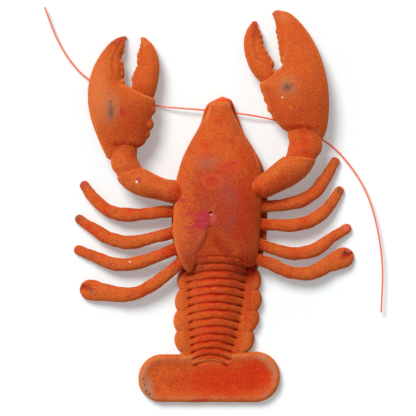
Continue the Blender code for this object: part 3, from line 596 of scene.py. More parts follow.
def linked(name, bm):
    """A smooth shaded mesh object from bm, which is freed."""
    data = bpy.data.meshes.new(name)
    bm.to_mesh(data)
    bm.free()
    data.shade_smooth()
    made = bpy.data.objects.new(name, data)
    bpy.context.scene.collection.objects.link(made)
    return made


def points_of(data):
    """The vertices and their normals, in millimetres."""
    co = np.empty(len(data.vertices) * 3, np.float32)
    data.vertices.foreach_get("co", co)
    normal = np.empty(len(data.vertices) * 3, np.float32)
    data.vertex_normals.foreach_get("vector", normal)
    return co.reshape(-1, 3).astype(float) / MM, normal.reshape(-1, 3).astype(float)


def set_points(data, points):
    """Moves the vertices to points, in millimetres."""
    data.vertices.foreach_set("co", (points * MM).astype(np.float32).ravel())
    data.update()


def raise_skin(piece, height):
    """Moves each point out along its normal by height(points), and keeps it above the floor."""
    points, normals = points_of(piece.data)
    points = points + normals * np.asarray(height(points))[:, None]
    points[:, 2] = np.maximum(points[:, 2], 0.0)
    set_points(piece.data, points)


def lumps(amount, size, seed=0.0):
    """A height function of soft random lumps about size millimetres wide, with finer ones on them."""

    def height(points):
        broad, fine = (points + seed) / size, (points - seed) / (size * 0.22)
        return [amount * (noise.noise(a) + 0.35 * noise.noise(b)) for a, b in zip(broad, fine)]

    return height


def fuse(piece, others, voxel, rounds=7):
    """Melts the other closed meshes into piece with a fine voxel skin, and smooths the joins."""
    bm = bmesh.new()
    bm.from_mesh(piece.data)
    for other in others:
        bm.from_mesh(other.data)
        bpy.data.objects.remove(other)
    bm.to_mesh(piece.data)
    bm.free()
    remesh = piece.modifiers.new("skin", "REMESH")
    remesh.mode = "VOXEL"
    remesh.voxel_size = voxel * MM
    remesh.use_smooth_shade = True
    soften = piece.modifiers.new("soften", "SMOOTH")
    soften.factor = 0.5
    soften.iterations = rounds
    graph = bpy.context.evaluated_depsgraph_get()
    graph.update()
    made = bpy.data.meshes.new_from_object(piece.evaluated_get(graph))
    piece.modifiers.clear()
    piece.data = made


def mark_relief(piece, reach=24):
    """Stores, for each point, how far it stands out of the form around it, in millimetres."""
    data = piece.data
    points, normals = points_of(data)
    edges = np.empty(len(data.edges) * 2, np.int32)
    data.edges.foreach_get("vertices", edges)
    a, b = edges.reshape(-1, 2).T
    degree = np.maximum(np.bincount(a, minlength=len(points)) + np.bincount(b, minlength=len(points)), 1)
    soft = points.copy()
    for _ in range(reach):
        sums = [np.bincount(a, one[b], len(soft)) + np.bincount(b, one[a], len(soft)) for one in soft.T]
        soft = np.stack(sums, axis=1) / degree[:, None]
    store(piece, "relief", ((points - soft) * normals).sum(axis=1))


def store(piece, name, values):
    """Keeps one number for each point, which the finish reads."""
    made = piece.data.attributes.new(name, "FLOAT", "POINT")
    made.data.foreach_set("value", np.asarray(values, np.float32))


def store_places(piece, name, amount):
    """Keeps amount(x, y, z), in millimetres, for each point."""
    store(piece, name, amount(*points_of(piece.data)[0].T))


def dressed(piece, material, *nodes, slot="flock"):
    """Gives a piece its finish, and puts it in the place of its solids."""
    piece.data.materials.clear()
    piece.data.materials.append(material)
    mark_relief(piece)
    store(piece, "facing", points_of(piece.data)[1][:, 2])
    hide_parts(*nodes)
    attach(piece, "root")


def new_material(name, **constants):
    """A Principled material with its values that are the same all over, its shader and its places."""
    made = bpy.data.materials.new(name)
    made.use_nodes = True
    shader = made.node_tree.nodes["Principled BSDF"]
    for key, value in constants.items():
        shader.inputs[key.replace("_", " ")].default_value = value
    here = made.node_tree.nodes.new("ShaderNodeTexCoord")
    metres = Field(made.node_tree, here.outputs["Object"])
    return made, shader, metres.vector("SCALE", Scale=1 / MM)


def wire(shader, name, value):
    """Links a field to one of the shader's sockets, or sets a plain value on it."""
    if isinstance(value, Field):
        value.tree.links.new(value.socket, shader.inputs[name])
    else:
        shader.inputs[name].default_value = value


# Flock: the depth of its nap in millimetres, and the colour of its sheen
NAP = 0.9
SHEEN_TINT = (1.0, 0.22, 0.06, 1.0)


def mark_shape(place, kind, where):
    """How strongly a mark shows at each place. Smoky kinds fade softly, and a halo is an open ring."""
    if kind == "halo":
        x, y, rx, ry, turn = where
        inside = (x, y, rx * 0.75, ry * 0.7, turn)
        return place.spot(where, 0.2, 0.6, 1.8) * (1 - place.spot(inside, 0.3, 0.6, 1.8))
    if kind in SMOKY:
        return place.spot(where, 0.75, 0.6)
    return place.spot(where, 0.3, 0.45)


def flock(name, marks=(), red_places=(), redness=0.3, rim=1.0, mottle=0.2):
    """Velvet flock: a fine grain of fibres, redder painted shade in hollows, rims pale from wear and
    painted sheen, and marks of wear, dirt and painted light.

    redness, rim and mottle say how much of it is red, how pale its rims are and how bruised its clumps.
    """
    tint = bpy.context.scene.lobster_colours
    size = bpy.context.scene.lobster_sizes.flock_grain
    made, shader, place = new_material(
        name, Sheen_Weight=1.0, Sheen_Roughness=0.32, Sheen_Tint=SHEEN_TINT, Specular_IOR_Level=0.03,
    )
    relief, facing, dust, groove_shade = (place.stored(key) for key in ("relief", "facing", "dust", "groove_shade"))
    broad, patch = place.grain(26.0, 3.0), place.grain(7.0, 3.0)
    clump, speck, fibre = place.grain(size * 6), place.grain(size * 2.5), place.grain(size)

    red = (broad + (redness - 0.5)).between(0.25, 0.75)
    for *where, strength in red_places:
        red = red.either(place.spot(where, 0.7, 0.25, 9.0) * strength)
    # Raised rims: partly flock worn thin, and partly a painted highlight on lit edges
    worn = (relief + (clump - 0.5) * 0.3).between(0.1, 0.6)
    # Painted shade in grooves, creases and joints, which lie below the form around them
    sunk_shade = (relief + (clump - 0.5) * 0.15).between(-0.5, -1.1)
    pepper = (speck + (patch - 0.5) * 0.35).between(0.36, 0.68)
    lint = (speck * 0.5 + clump * 0.5).between(0.5, 0.34)
    # Painted sheen: sides that face sideways are tinted pale, as velvet looks at a grazing angle
    steep_sheen = (facing + (clump - 0.5) * 0.3).between(0.75, 0.1)
    bruise = (place.grain(4.0, 3.0, 0.65) + (speck - 0.5) * 0.5).between(0.52, 0.74)
    sand = dust * (speck * 0.5 + patch * 0.5).between(0.38, 0.6)

    base = painted(tint.orange, tint.red, (red + (patch - 0.5) * 0.35).between(0.1, 1.0))
    for tone, share in (
        (tint.rim, worn * (0.8 * rim)),
        (tint.hollow_shade, sunk_shade * 0.8),
        (MARKS["deep"], pepper * 0.25),
        (MARKS["lint"], lint * 0.12),
        (tint.rim, steep_sheen * (0.65 * rim)),
        (MARKS["bruise"], bruise * mottle),
        (MARKS["sand"], sand),
        # Painted shade in the tail's grooves
        (MARKS["deep"], groove_shade),
    ):
        base = painted(base, tone, share)

    upward = facing.between(-0.1, 0.35)
    roughness, bumpiness = 0.95, 1.0
    for kind, *where, strength in marks:
        shown = mark_shape(place, kind, where) * (upward * strength)
        share = shown * (speck * 2.0 - 0.3) if kind in SMOKY else shown
        base = painted(base, MARKS[kind] or tint.vinyl, share)
        if kind in GLOSSY:
            roughness = roughness - shown * 0.4
            bumpiness = bumpiness - shown * 0.7
    grain = clump * 0.12 + speck.between(0.66, 0.34) * 0.18 + fibre * 0.1 - 0.2
    height = fibre * 0.6 + speck * 0.6 + clump * 0.25
    wire(shader, "Base Color", shaded(base, 0.97 + grain * bumpiness))
    wire(shader, "Roughness", roughness)
    bump = height.node("ShaderNodeBump", Strength=bumpiness, Distance=NAP * MM, Height=height)
    wire(shader, "Normal", bump)
    return made


# The pressed hole and the ring shaped blister on the shell
HOLE = px(210.3, 213.2)
BLISTER = px(212, 182)

# The colour of each kind of mark. None takes the vinyl's own colour.
MARKS = {
    "vinyl": None,
    "crimson": (0.42, 0.02, 0.035),
    "pink": (0.62, 0.12, 0.13),
    "purple": (0.24, 0.03, 0.07),
    "grey": (0.06, 0.06, 0.055),
    "blue": (0.26, 0.125, 0.105),
    "dark": (0.02, 0.012, 0.012),
    "white": (0.85, 0.74, 0.68),
    "scuff": (0.53, 0.042, 0.018),
    # pale is mostly a painted highlight on lit edges, rims and ridges, with a few pale spots
    "pale": (0.66, 0.22, 0.075),
    "sand": (0.42, 0.25, 0.15),
    "halo": (0.60, 0.08, 0.03),
    "lint": (0.68, 0.19, 0.075),
    # deep is painted shade in creases, at joints and along shaded sides, and also the dark flecks of the
    # flock's grain
    "deep": (0.32, 0.007, 0.002),
    "bruise": (0.34, 0.05, 0.045),
    "khaki": (0.42, 0.19, 0.085),
    "lip": (0.90, 0.16, 0.04),
    # dusk is mostly broad painted shade, with dark stains at two finger tips
    "dusk": (0.31, 0.026, 0.009),
}

# Kinds that show smooth, shiny vinyl, and kinds whose edges fade into the flock
GLOSSY = {"vinyl", "crimson", "pink"}
SMOKY = {"bruise", "blue", "grey", "scuff", "sand", "purple", "pale", "dusk", "halo", "deep", "khaki"}

# Marks are (kind, x, y, rx, ry, turn, strength), and red places (x, y, rx, ry, turn, strength), where
# rx and ry are an oval's half widths. Lengths are millimetres, but seen takes x and y on the photo's grid.
# Painted shade on the shell and the tail: the shell's darker middle, the crease and the valley beside the
# tail's tongue, the right side and the rear corners
PAINTED_SHADE_MARKS = (
    ("dusk", 5, -8, 24, 36, 0, 0.8),
    ("dusk", 20, -30, 26, 30, 20, 0.3),
    ("deep", 37, 6, 8, 36, 8, 0.22),
    ("dusk", -9, -42, 4.5, 20, -20, 0.75),
    ("dusk", 8.5, -38, 4, 12.5, 41, 0.85),
    ("dusk", 32, -56, 12, 8, 0, 0.7),
    ("deep", 33, -52.5, 15, 12, 0, 1),
    ("deep", -25.2, -53.6, 7, 8, 0, 0.45),
    ("dusk", -19.5, -49, 10.5, 15, 0, 0.85),
)
SHELL_MARKS = (
    *PAINTED_SHADE_MARKS,
    # Painted shade on the rear left of the shell
    ("bruise", -15, -34, 12, 15, 0, 0.4),
    *seen(
        ("bruise", 213, 200, 20, 30, 0, 0.35),
        ("vinyl", 202.5, 219.5, 6.6, 9, -10, 0.95),
        ("purple", 206.8, 227, 2.4, 3.6, 0, 0.45),
        ("pink", 200, 217.5, 5, 0.9, -12, 0.2),
        ("pink", 203, 223.5, 4, 0.8, 4, 0.16),
        ("vinyl", 193, 214.5, 7.5, 1.4, -14, 0.6),
        ("vinyl", 196, 226.5, 9.5, 1.5, 8, 0.55),
        ("vinyl", 188, 227.5, 5, 0.8, -6, 0.5),
        ("crimson", 182.5, 200.5, 3.4, 1.9, -12, 0.7),
        ("pink", 213, 217.5, 3, 4.2, 0, 0.28),
        ("pale", 214, 206.6, 0.8, 0.7, 0, 0.6),
        # The pressed hole: a painted shadow inside it, and a small white painted glint beside it
        ("dark", 210.2, 212.8, 1.2, 1.2, 0, 1),
        ("white", 210.9, 214.4, 0.6, 0.5, 0, 0.7),
        ("dusk", 202, 182, 9, 18, 0, 0.5),
        ("blue", 207, 163, 9, 5.8, 0, 0.5),
        ("blue", 229, 194, 6.5, 13.5, 18, 0.28),
        ("blue", 231, 222, 4, 8.5, -20, 0.25),
        ("scuff", 212, 182, 9, 6.8, 5, 0.6),
        ("halo", 212.5, 182, 9.2, 6.6, 5, 0.75),
        ("halo", 229, 165, 10, 5.4, 12, 0.4),
        ("crimson", 212, 179.5, 1.3, 0.9, 0, 0.8),
        ("scuff", 230, 165, 8.5, 3.6, 12, 0.6),
        ("crimson", 234, 163, 4.2, 1.1, 22, 0.6),
        ("crimson", 224, 168, 3.4, 0.8, -20, 0.5),
        ("crimson", 238, 176, 1.1, 4.2, -30, 0.35),
        ("purple", 213, 110, 2.2, 3, 0, 0.3),
        # Painted highlights along the lit edges of the snout
        ("pale", 208, 112.7, 1.4, 8.5, -16, 0.8),
        ("pale", 234.5, 116.9, 1.2, 13.5, 27, 0.6),
        ("pale", 219, 104.6, 7, 1, 0, 0.4),
        # Painted shade and a painted highlight along the shell's right edge
        ("deep", 253.2, 158, 0.9, 10.5, 15, 0.6),
        ("pale", 255.8, 157.5, 1.3, 11, 15, 0.7),
    ),
)
# The first two red places, on the shell's right side, are painted shade; the others are the flock's redder
# tone
SHELL_RED = (
    (26, -8, 20, 40, 0, 0.85),
    (34, 38, 12, 22, 20, 0.7),
    (8, 26, 14, 10, 0, 0.6),
    (5, -45, 34, 16, 0, 0.65),
)
BELLY_MARKS = seen(
    ("lip", 222, 98.5, 11, 4.4, 0, 0.95),
    ("crimson", 222, 100.6, 8, 0.8, 0, 0.6),
    # Painted shade in the groove beside the snout's right edge
    ("deep", 234.5, 110.5, 1.6, 9, 20, 0.7),
)
TAIL_MARKS = (
    *PAINTED_SHADE_MARKS,
    # Painted shade along the right flap and under the shell's rear corners
    ("dusk", 37, -92, 7, 34, 3, 0.5),
    ("deep", -26, -58, 5, 6, 0, 0.7),
    ("deep", 36, -58, 4, 6, 0, 0.5),
)
TAIL_RED = (
    (3, -75, 25, 36, 0, 0.85),
    (0, -120, 22, 26, 0, 0.8),
    (34, -90, 8, 40, 0, 0.5),
)
FAN_MARKS = seen(
    ("sand", 147.5, 386, 4.6, 10.5, 14, 0.8),
    ("grey", 145.5, 387, 2, 7.5, 16, 0.3),
    ("sand", 270, 364, 3.6, 8, 40, 0.4),
    ("crimson", 201, 399.5, 9.5, 0.75, 2, 0.8),
    ("crimson", 171, 386, 1.6, 1.2, 0, 0.35),
    ("dark", 143.9, 378.2, 0.9, 0.75, 0, 0.8),
    ("dark", 144.7, 384.4, 0.6, 0.75, 0, 0.8),
    ("dark", 146.4, 390.4, 0.8, 0.75, 0, 0.8),
    ("dark", 149.6, 393.5, 1.3, 0.75, 0, 0.8),
)
FAN_RED = (
    (12, -158, 44, 17, 0, 0.86),
    (36, -152, 18, 14, 0, 1),
    (-24, -160, 20, 12, 0, 0.55),
)
LEFT_CLAW_MARKS = seen(
    # A painted highlight on the lit left side, painted shade on the palm, a painted shadow along the
    # wrist's crease, and a painted highlight on the lip over the thumb
    ("pale", 97, 96, 9, 30, -4, 0.55),
    ("dusk", 133, 128, 20, 22, 0, 0.45),
    ("deep", 126, 145.3, 13, 2.6, -4, 1),
    ("pale", 141.5, 95, 11, 1.3, -21, 0.5),
    ("khaki", 111.5, 107.5, 8, 14, 0, 0.6),
    ("blue", 111.5, 111, 4.5, 8.5, 0, 0.35),
    ("grey", 111.7, 113, 2.3, 6, 0, 0.8),
    ("grey", 111, 102.5, 1.3, 1.3, 0, 0.75),
    ("crimson", 122.7, 113, 2, 4.4, 0, 0.85),
    ("dusk", 118, 42.5, 7.5, 5, 40, 0.85),
    ("crimson", 121.3, 39.8, 3.4, 2.4, 40, 0.5),
)
RIGHT_CLAW_MARKS = seen(
    ("pale", 282, 18, 7, 4, -30, 0.5),
    # Painted shade on the palm's right side, a painted shadow along the wrist's crease, and painted
    # highlights on the lip over the thumb and on the finger's ridge
    ("dusk", 311, 125, 16, 34, 0, 0.4),
    ("deep", 300, 128, 13, 2.6, 0, 1),
    ("pale", 268.6, 77.3, 10.5, 1.7, 36, 0.9),
    ("pale", 284, 58, 1.2, 9.5, -16, 0.5),
    ("khaki", 286.5, 86.5, 9, 9, 0, 0.65),
    ("blue", 287, 88, 4.5, 4.2, 0, 0.4),
    ("grey", 286.5, 88.2, 3.4, 3.2, 0, 0.9),
    ("crimson", 292, 85.5, 1.6, 1.2, 0, 0.6),
    ("white", 281.7, 98.2, 0.9, 0.6, 20, 0.7),
    ("pale", 290, 108.5, 1.6, 1.2, 0, 0.7),
    ("purple", 301.5, 110.5, 2.4, 1.2, -40, 0.5),
    ("crimson", 274.5, 13.5, 4.6, 2.4, -12, 0.35),
    ("bruise", 279, 18, 5.5, 3, -30, 0.3),
)
LEFT_CLAW_RED = ((-72, 72, 16, 18, 0, 0.4),)
RIGHT_CLAW_RED = ((66, 78, 18, 12, 0, 0.4),)
LEFT_THUMB_MARKS = (
    # Painted shade under the palm's lip
    ("deep", -61, 101, 11, 5, -30, 0.5),
    *seen(("pale", 143.5, 42, 4, 4.5, 0, 0.3), ("crimson", 145, 39.8, 2.2, 1.8, 0, 0.3)),
)
RIGHT_THUMB_MARKS = (
    # Painted shade under the palm's lip
    ("deep", 53, 116, 10, 5, 40, 0.5),
    *seen(("dusk", 256, 31, 5, 9, -10, 0.8), ("crimson", 254.8, 24, 2.8, 3.6, -15, 0.45)),
)
LEFT_ARM_MARKS = (
    # Painted shade at the arm's root and along its lower side
    ("deep", -31, 7, 8, 12, 0, 0.8),
    ("dusk", -50, 8, 14, 5, -25, 0.6),
    *seen(("crimson", 139.3, 180.4, 2.1, 2.9, 20, 0.75), ("white", 137.3, 182, 1, 1.2, 25, 0.9)),
)
RIGHT_ARM_MARKS = (
    # Painted shade at the arm's root and along its lower side
    ("deep", 40, 8, 8, 8, 0, 0.7),
    ("dusk", 60, 20, 24, 8, 32, 0.7),
)
# The red places at the arms' roots and lower sides are painted shade
LEFT_ARM_RED = ((-28, 6, 14, 14, 0, 0.9), (-46, 10, 14, 6, -20, 0.5))
RIGHT_ARM_RED = ((42, 12, 12, 12, 30, 0.9), (58, 18, 22, 8, 30, 0.7))
# Painted shade where each wrist runs under its palm
LEFT_WRIST_MARKS = (("deep", -79, 55, 14, 6, 0, 0.6),)
RIGHT_WRIST_MARKS = (("deep", 80, 70, 16, 5, -8, 0.6),)
LEFT_WRIST_RED = ((-72, 44, 8, 10, 0, 0.6),)
RIGHT_WRIST_RED = ((82, 52, 18, 16, 0, 0.85),)
LEG_MARKS = {
    "leg_left_1": (("bruise", 83, 185, 3.2, 4, 20, 0.7), ("purple", 82.5, 184.5, 2.4, 3, 20, 0.4)),
    "leg_left_2": (("grey", 78, 218.5, 4, 3.2, -20, 0.8), ("crimson", 78.5, 219, 2.6, 1.6, -20, 0.4)),
    "leg_left_3": (
        ("purple", 111, 264, 1.9, 1.6, 0, 0.55),
        ("bruise", 91, 256, 3.4, 2.2, 0, 0.6),
        ("white", 130, 261.5, 0.7, 0.7, 0, 0.7),
        ("purple", 77, 249.5, 2, 2, 0, 0.45),
    ),
    "leg_left_4": (
        ("grey", 92, 290.5, 2.6, 2.1, 0, 0.7),
        ("deep", 85, 286.5, 6, 3.2, 10, 0.95),
        ("crimson", 85, 286.5, 4.6, 2.2, 10, 0.2),
        ("dark", 83, 286, 2, 1.3, 10, 0.5),
    ),
    "leg_right_1": (("grey", 335.5, 161, 1.8, 2.6, 20, 0.5),),
    "leg_right_2": (("grey", 338.8, 190.5, 2.2, 3, 0, 0.85), ("purple", 328, 203, 1.8, 1.5, 0, 0.6)),
    "leg_right_3": (("pink", 346.5, 228.5, 3.4, 2.4, 20, 0.45),),
    "leg_right_4": (
        ("deep", 346.5, 253.5, 6, 3.4, 35, 0.95),
        ("crimson", 347, 254, 4.8, 2.2, 35, 0.35),
        ("dark", 344.5, 252.5, 2.2, 1.6, 30, 0.6),
        ("sand", 349, 250, 3, 2, 30, 0.4),
    ),
}


def shell_rings(sides=176, count=150):
    """Rings of the domed shell, which slant back along the rear V and turn softly down at its edge."""
    read = rows_by_y(SHELL_ROWS)
    base = oval((-1.0, 0.0), (1.0, 0.0), 0.0, 1.0, 1.0, sides, SHELL_SQUARENESS)
    share, rise = base[:, 0], base[:, 2]
    rear = read_off(REAR_EDGE, share) - REAR_END
    soft, tuck = read_off(REAR_SOFTNESS, share), read_off(REAR_TUCK, share)
    body = np.linspace(SHELL_ROWS[0][0], REAR_END + 6.0, count)
    edge = np.linspace(REAR_END + 5.6, REAR_END, 14)
    rings = []
    for nominal in np.concatenate([body, edge]):
        y = nominal + max(0.0, (SLANT_START - nominal) / (SLANT_START - REAR_END)) * rear
        drop = tuck * np.clip(1 - (nominal - REAR_END) / soft, 0, 1) ** 2.2
        _, left, right, top, level = read(y)
        above = level + rise * (top - level) - drop * rise
        below = level + rise * (level - SEAM_LEVEL + BELOW_SEAM)
        z = np.where(rise > 0, above, below)
        x = (left + right) / 2 + share * (right - left) / 2 - SHELL_LEAN * (z - level)
        rings.append(np.column_stack([x, y, np.maximum(z, SEAM_LEVEL - 0.2)]))
    return dome(rings[0], rings[1], 2.2, 8)[-2::-1] + rings


def shell_height(x, y, read=rows_by_y(SHELL_ROWS)):
    """The level of the shell's top at places seen from above."""
    _, left, right, top, level = read(y)
    height = top
    for _ in range(5):
        across = np.abs(x + SHELL_LEAN * (height - level) - (left + right) / 2) / ((right - left) / 2)
        inside = np.maximum(0.0, 1 - across**SHELL_SQUARENESS)
        height = level + (top - level) * inside ** (1 / SHELL_SQUARENESS)
    return height


def groove_place(k):
    """The midline y of groove k."""
    return FIRST_GROOVE - GROOVE_PITCH * k - GROOVE_DRIFT * math.sin(math.pi * (k / (GROOVES - 1)) ** 2)


def groove_at(y, wide, rounding=0.18):
    """1 in a groove and 0 on a rib, for midline places y. rounding says how round the ribs are."""
    depth = 0.55 * np.exp(-(((y - TONGUE_GROOVE) / wide) ** 2))
    for k in range(GROOVES):
        away = np.abs(y - groove_place(k))
        near = np.exp(-((away / wide) ** 2))
        slope = np.maximum(0, 1 - away / (GROOVE_PITCH / 2))
        depth = np.maximum(depth, (1 - rounding) * near + rounding * slope)
    return depth


def rib_place(x, y, read):
    """For a place seen from above: the midline y of its rib, and its share of the band's half width."""
    middle = y
    for _ in range(4):
        _, _, _, band_left, band_right, _, _ = read(middle - RIB_ARCH)
        v = (x - (band_left + band_right) / 2) / ((band_right - band_left) / 2)
        middle = y + RIB_ARCH * np.minimum(np.abs(v), 1.2) ** 2
    return middle, v


def right_of(line, x, y):
    """How far a place is to the right of a line's two ends, in millimetres along x."""
    (top_x, top_y), (end_x, end_y) = line
    return x - top_x - (y - top_y) * (end_x - top_x) / (end_y - top_y)


def band_height(y_mid, v, sizes, read=rows_by_y(TAIL_ROWS)):
    """The height of the ribbed band at share v of its half width, for a slice with its midline at y_mid."""
    _, _, _, band_left, band_right, top, flap = read(y_mid - RIB_ARCH)
    out = np.abs(v)
    foot = np.maximum(flap + 0.1, read_off(BAND_FOOT, y_mid - RIB_ARCH))
    level = foot + (top - foot) * (1 - out**2.4) ** 1.5
    middle, half = (band_left + band_right) / 2, (band_right - band_left) / 2
    x = middle + half * v
    y = y_mid - RIB_ARCH * v * v
    crease = sizes.crease_depth * smoothstep(6.5, 0.3, right_of(CREASE, x, y)) * smoothstep(-19.0, -30.0, y)
    valley = np.exp(-((right_of(VALLEY, x, y) / 3.2) ** 2)) * smoothstep(-26.0, -34.0, y)
    step = TONGUE_STEP + 2.5 * smoothstep(-20.5, -17.5, y_mid) * smoothstep(1.0, -3.0, x)
    step = step + crease + sizes.valley_depth * valley
    under_shell = smoothstep(-62.0, -44.0, y_mid) * smoothstep(1.0, 0.7, v)
    level = level + under_shell * (shell_height(x, y) - step - level)
    pit = sizes.pit_depth * smoothstep(0.64, 0.86, out) * smoothstep(1.04, 0.96, out)
    depth = sizes.groove_depth * smoothstep(1.06, 0.9, out) + pit
    # The grooves grow shallower towards the fan, and the last of them fade out on it.
    fading = 0.55 + 0.45 * smoothstep(-146.0, -138.0, y_mid)
    fading = fading * (0.78 + 0.22 * smoothstep(-115.0, -85.0, y_mid))
    wander = np.array([noise.noise((a / 7, y_mid / 9, 0)) for a in x])
    return level - groove_at(y_mid + 0.9 * wander, sizes.groove_width) * depth * fading * (1 + 0.5 * wander)


def flap_side(edge, band, flap, edge_y, wave, ends):
    """Half a slice of the scalloped flap, from its outer edge in to the ribbed band."""
    inward = np.linspace(0, 1, 15)[:-1]
    notch = math.exp(-((wave / NOTCH_WIDTH) ** 2)) * ends
    x = edge + (band - edge) * inward
    near = np.clip(1 - np.abs(x - edge) / FLAP_ROUNDING, 0, 1)
    rise = (1 - near**FLAP_SQUARENESS) ** (1 / FLAP_SQUARENESS)
    z = FLAP_FOOT + (flap - FLAP_FOOT) * rise
    z = z + 0.7 * abs(wave) * ends * np.sin(math.pi * inward) - 0.9 * notch * rise * (1 - inward)
    return np.column_stack([x, np.full_like(x, edge_y), z])


def tail_rings(sizes):
    """Slices of the tail: the left flap, the arched ribbed band, the right flap and the flat underside."""
    read = rows_by_y(TAIL_ROWS)
    v = np.linspace(-1, 1, 90)
    rings = []
    for y in np.arange(-15.0, -145.2, -0.5):
        edge_y = y - RIB_ARCH
        _, left, right, band_left, band_right, _, flap = read(edge_y)
        wave = math.sin(math.pi * (LOBE_START - edge_y) / LOBE_LENGTH)
        ends = smoothstep(-135.5, -129.0, edge_y) * smoothstep(-52.0, -60.0, edge_y)
        bulge = LOBE_BULGE * abs(wave) ** 0.7 * ends
        left, right = left - bulge, right + bulge
        middle, half = (band_left + band_right) / 2, (band_right - band_left) / 2
        band = np.column_stack([middle + half * v, y - RIB_ARCH * v * v, band_height(y, v, sizes)])
        lefts = flap_side(left, band_left, flap, edge_y, wave, ends)
        rights = flap_side(right, band_right, flap, edge_y, wave, ends)[::-1]
        under_x = np.linspace(right - 0.8, left + 0.8, 16)
        under = np.column_stack([under_x, np.full(16, edge_y), np.zeros(16)])
        rings.append(np.concatenate([lefts, band, rights, under]))
    return rings


def fan_outline(inset, edge=70):
    """The fan's outline seen from above, drawn in by inset millimetres: two arcs and the edges between."""
    points = []
    for (x, y, radius), start in ((FAN_RIGHT, -90.0), (FAN_LEFT, 90.0)):
        angle = np.radians(start + 180.0 * np.arange(FAN_ARC) / (FAN_ARC - 1))
        radius = max(radius - inset, 0.4)
        points.append(np.column_stack([x + radius * np.cos(angle), y + radius * np.sin(angle)]))
    right, left = points
    top = np.linspace(right[-1], left[0], edge + 1)[1:-1]
    bottom = np.linspace(left[-1], right[0], edge + 1)[1:-1]
    return np.concatenate([right, top, left, bottom])


def fan_rings(sizes, read=rows_by_y(TAIL_ROWS)):
    """Rings of the plate. The tail's last grooves are pressed into it."""
    plate = [(inset, PLATE_TOP) for inset in np.linspace(16.0, 20.4, 10)]
    rings = []
    for inset, level in [*curve_rows(FAN_PROFILE, 44), *plate]:
        outline = fan_outline(inset)
        middle, v = rib_place(*outline.T, read)
        out = np.abs(v)
        pit = 0.9 * smoothstep(0.62, 0.85, out) * smoothstep(1.04, 0.94, out)
        depth = 1.25 * smoothstep(1.06, 0.92, out) + pit
        pressed = groove_at(middle, sizes.groove_width) * depth * smoothstep(-145.0, -143.0, middle)
        rings.append(np.column_stack([outline, level - pressed * (level > 8.0)]))
    return rings


def limb(rows, count, sides, root, tip, ledge=None, cuff=0.0, waist=0.0):
    """Rings of a claw, thumb or arm, whose ends are closed by domes root and tip millimetres long.

    ledge = (first row, last row, level, border) flattens a strip along the inner edge. level is a share of
    the half thickness, and border one of the half width. cuff and waist are how far the last end flares and
    the first is drawn in, in millimetres.
    """
    rings = []
    across = np.cos(turns(sides))
    share = np.sign(across) * np.abs(across) ** (2 / LIMB_SQUARENESS)
    for u in np.linspace(0, len(rows) - 1, count):
        ax, ay, bx, by, level, thick = curve_point(rows, u)
        wide = math.dist((ax, ay), (bx, by))
        ring = oval((ax, ay), (bx, by), level, thick, thick, sides, LIMB_SQUARENESS)
        if ledge:
            first, last, flat, border = ledge
            border = border + (1.1 - border) * smoothstep(first + 1.8, first - 0.2, u)
            slope = 2.6 / wide
            strip = smoothstep(border - slope, border + slope, share)
            strip = strip * smoothstep(last + 0.9, last - 0.9, u)
            ring[:, 2] -= strip * np.maximum(ring[:, 2] - level - thick * flat, 0)
        middle = ring.mean(axis=0)
        flare = cuff * smoothstep(len(rows) - 1.9, len(rows) - 1.05, u) - waist * smoothstep(2.4, 1.4, u)
        rings.append(middle + (ring - middle) * (1 + flare / (0.5 * wide)))
    return capped(rings, root, tip)


def tooth(rows, x, y, z, radius, tall, top):
    """A ball that is set back into its finger, so that only a low scallop of it stands out.

    A finger's tooth reaches up to top, a share of the finger's half thickness. Only a knob uses z and tall.
    """
    line = curve_rows(rows, 100)
    middles = (line[:, 0:2] + line[:, 2:4]) / 2
    nearest = np.argmin(np.hypot(*(middles - (x, y)).T))
    inward = middles[nearest] - (x, y)
    knob = radius >= KNOB_RADIUS
    wider = radius * (0.3 if knob else 1.25)
    x, y = np.array((x, y)) + inward / np.hypot(*inward) * wider * 0.92
    if not knob:
        z, tall = line[nearest, 4], min(top * line[nearest, 5], TALLEST_TOOTH) / (radius + wider)
    bm = bmesh.new()
    place = Matrix.Translation(Vector((x, y, z)) * MM) @ Matrix.Diagonal((1.0, 1.0, tall, 1.0))
    bmesh.ops.create_icosphere(bm, subdivisions=3, radius=(radius + wider) * MM, matrix=place)
    return linked("tooth", bm)


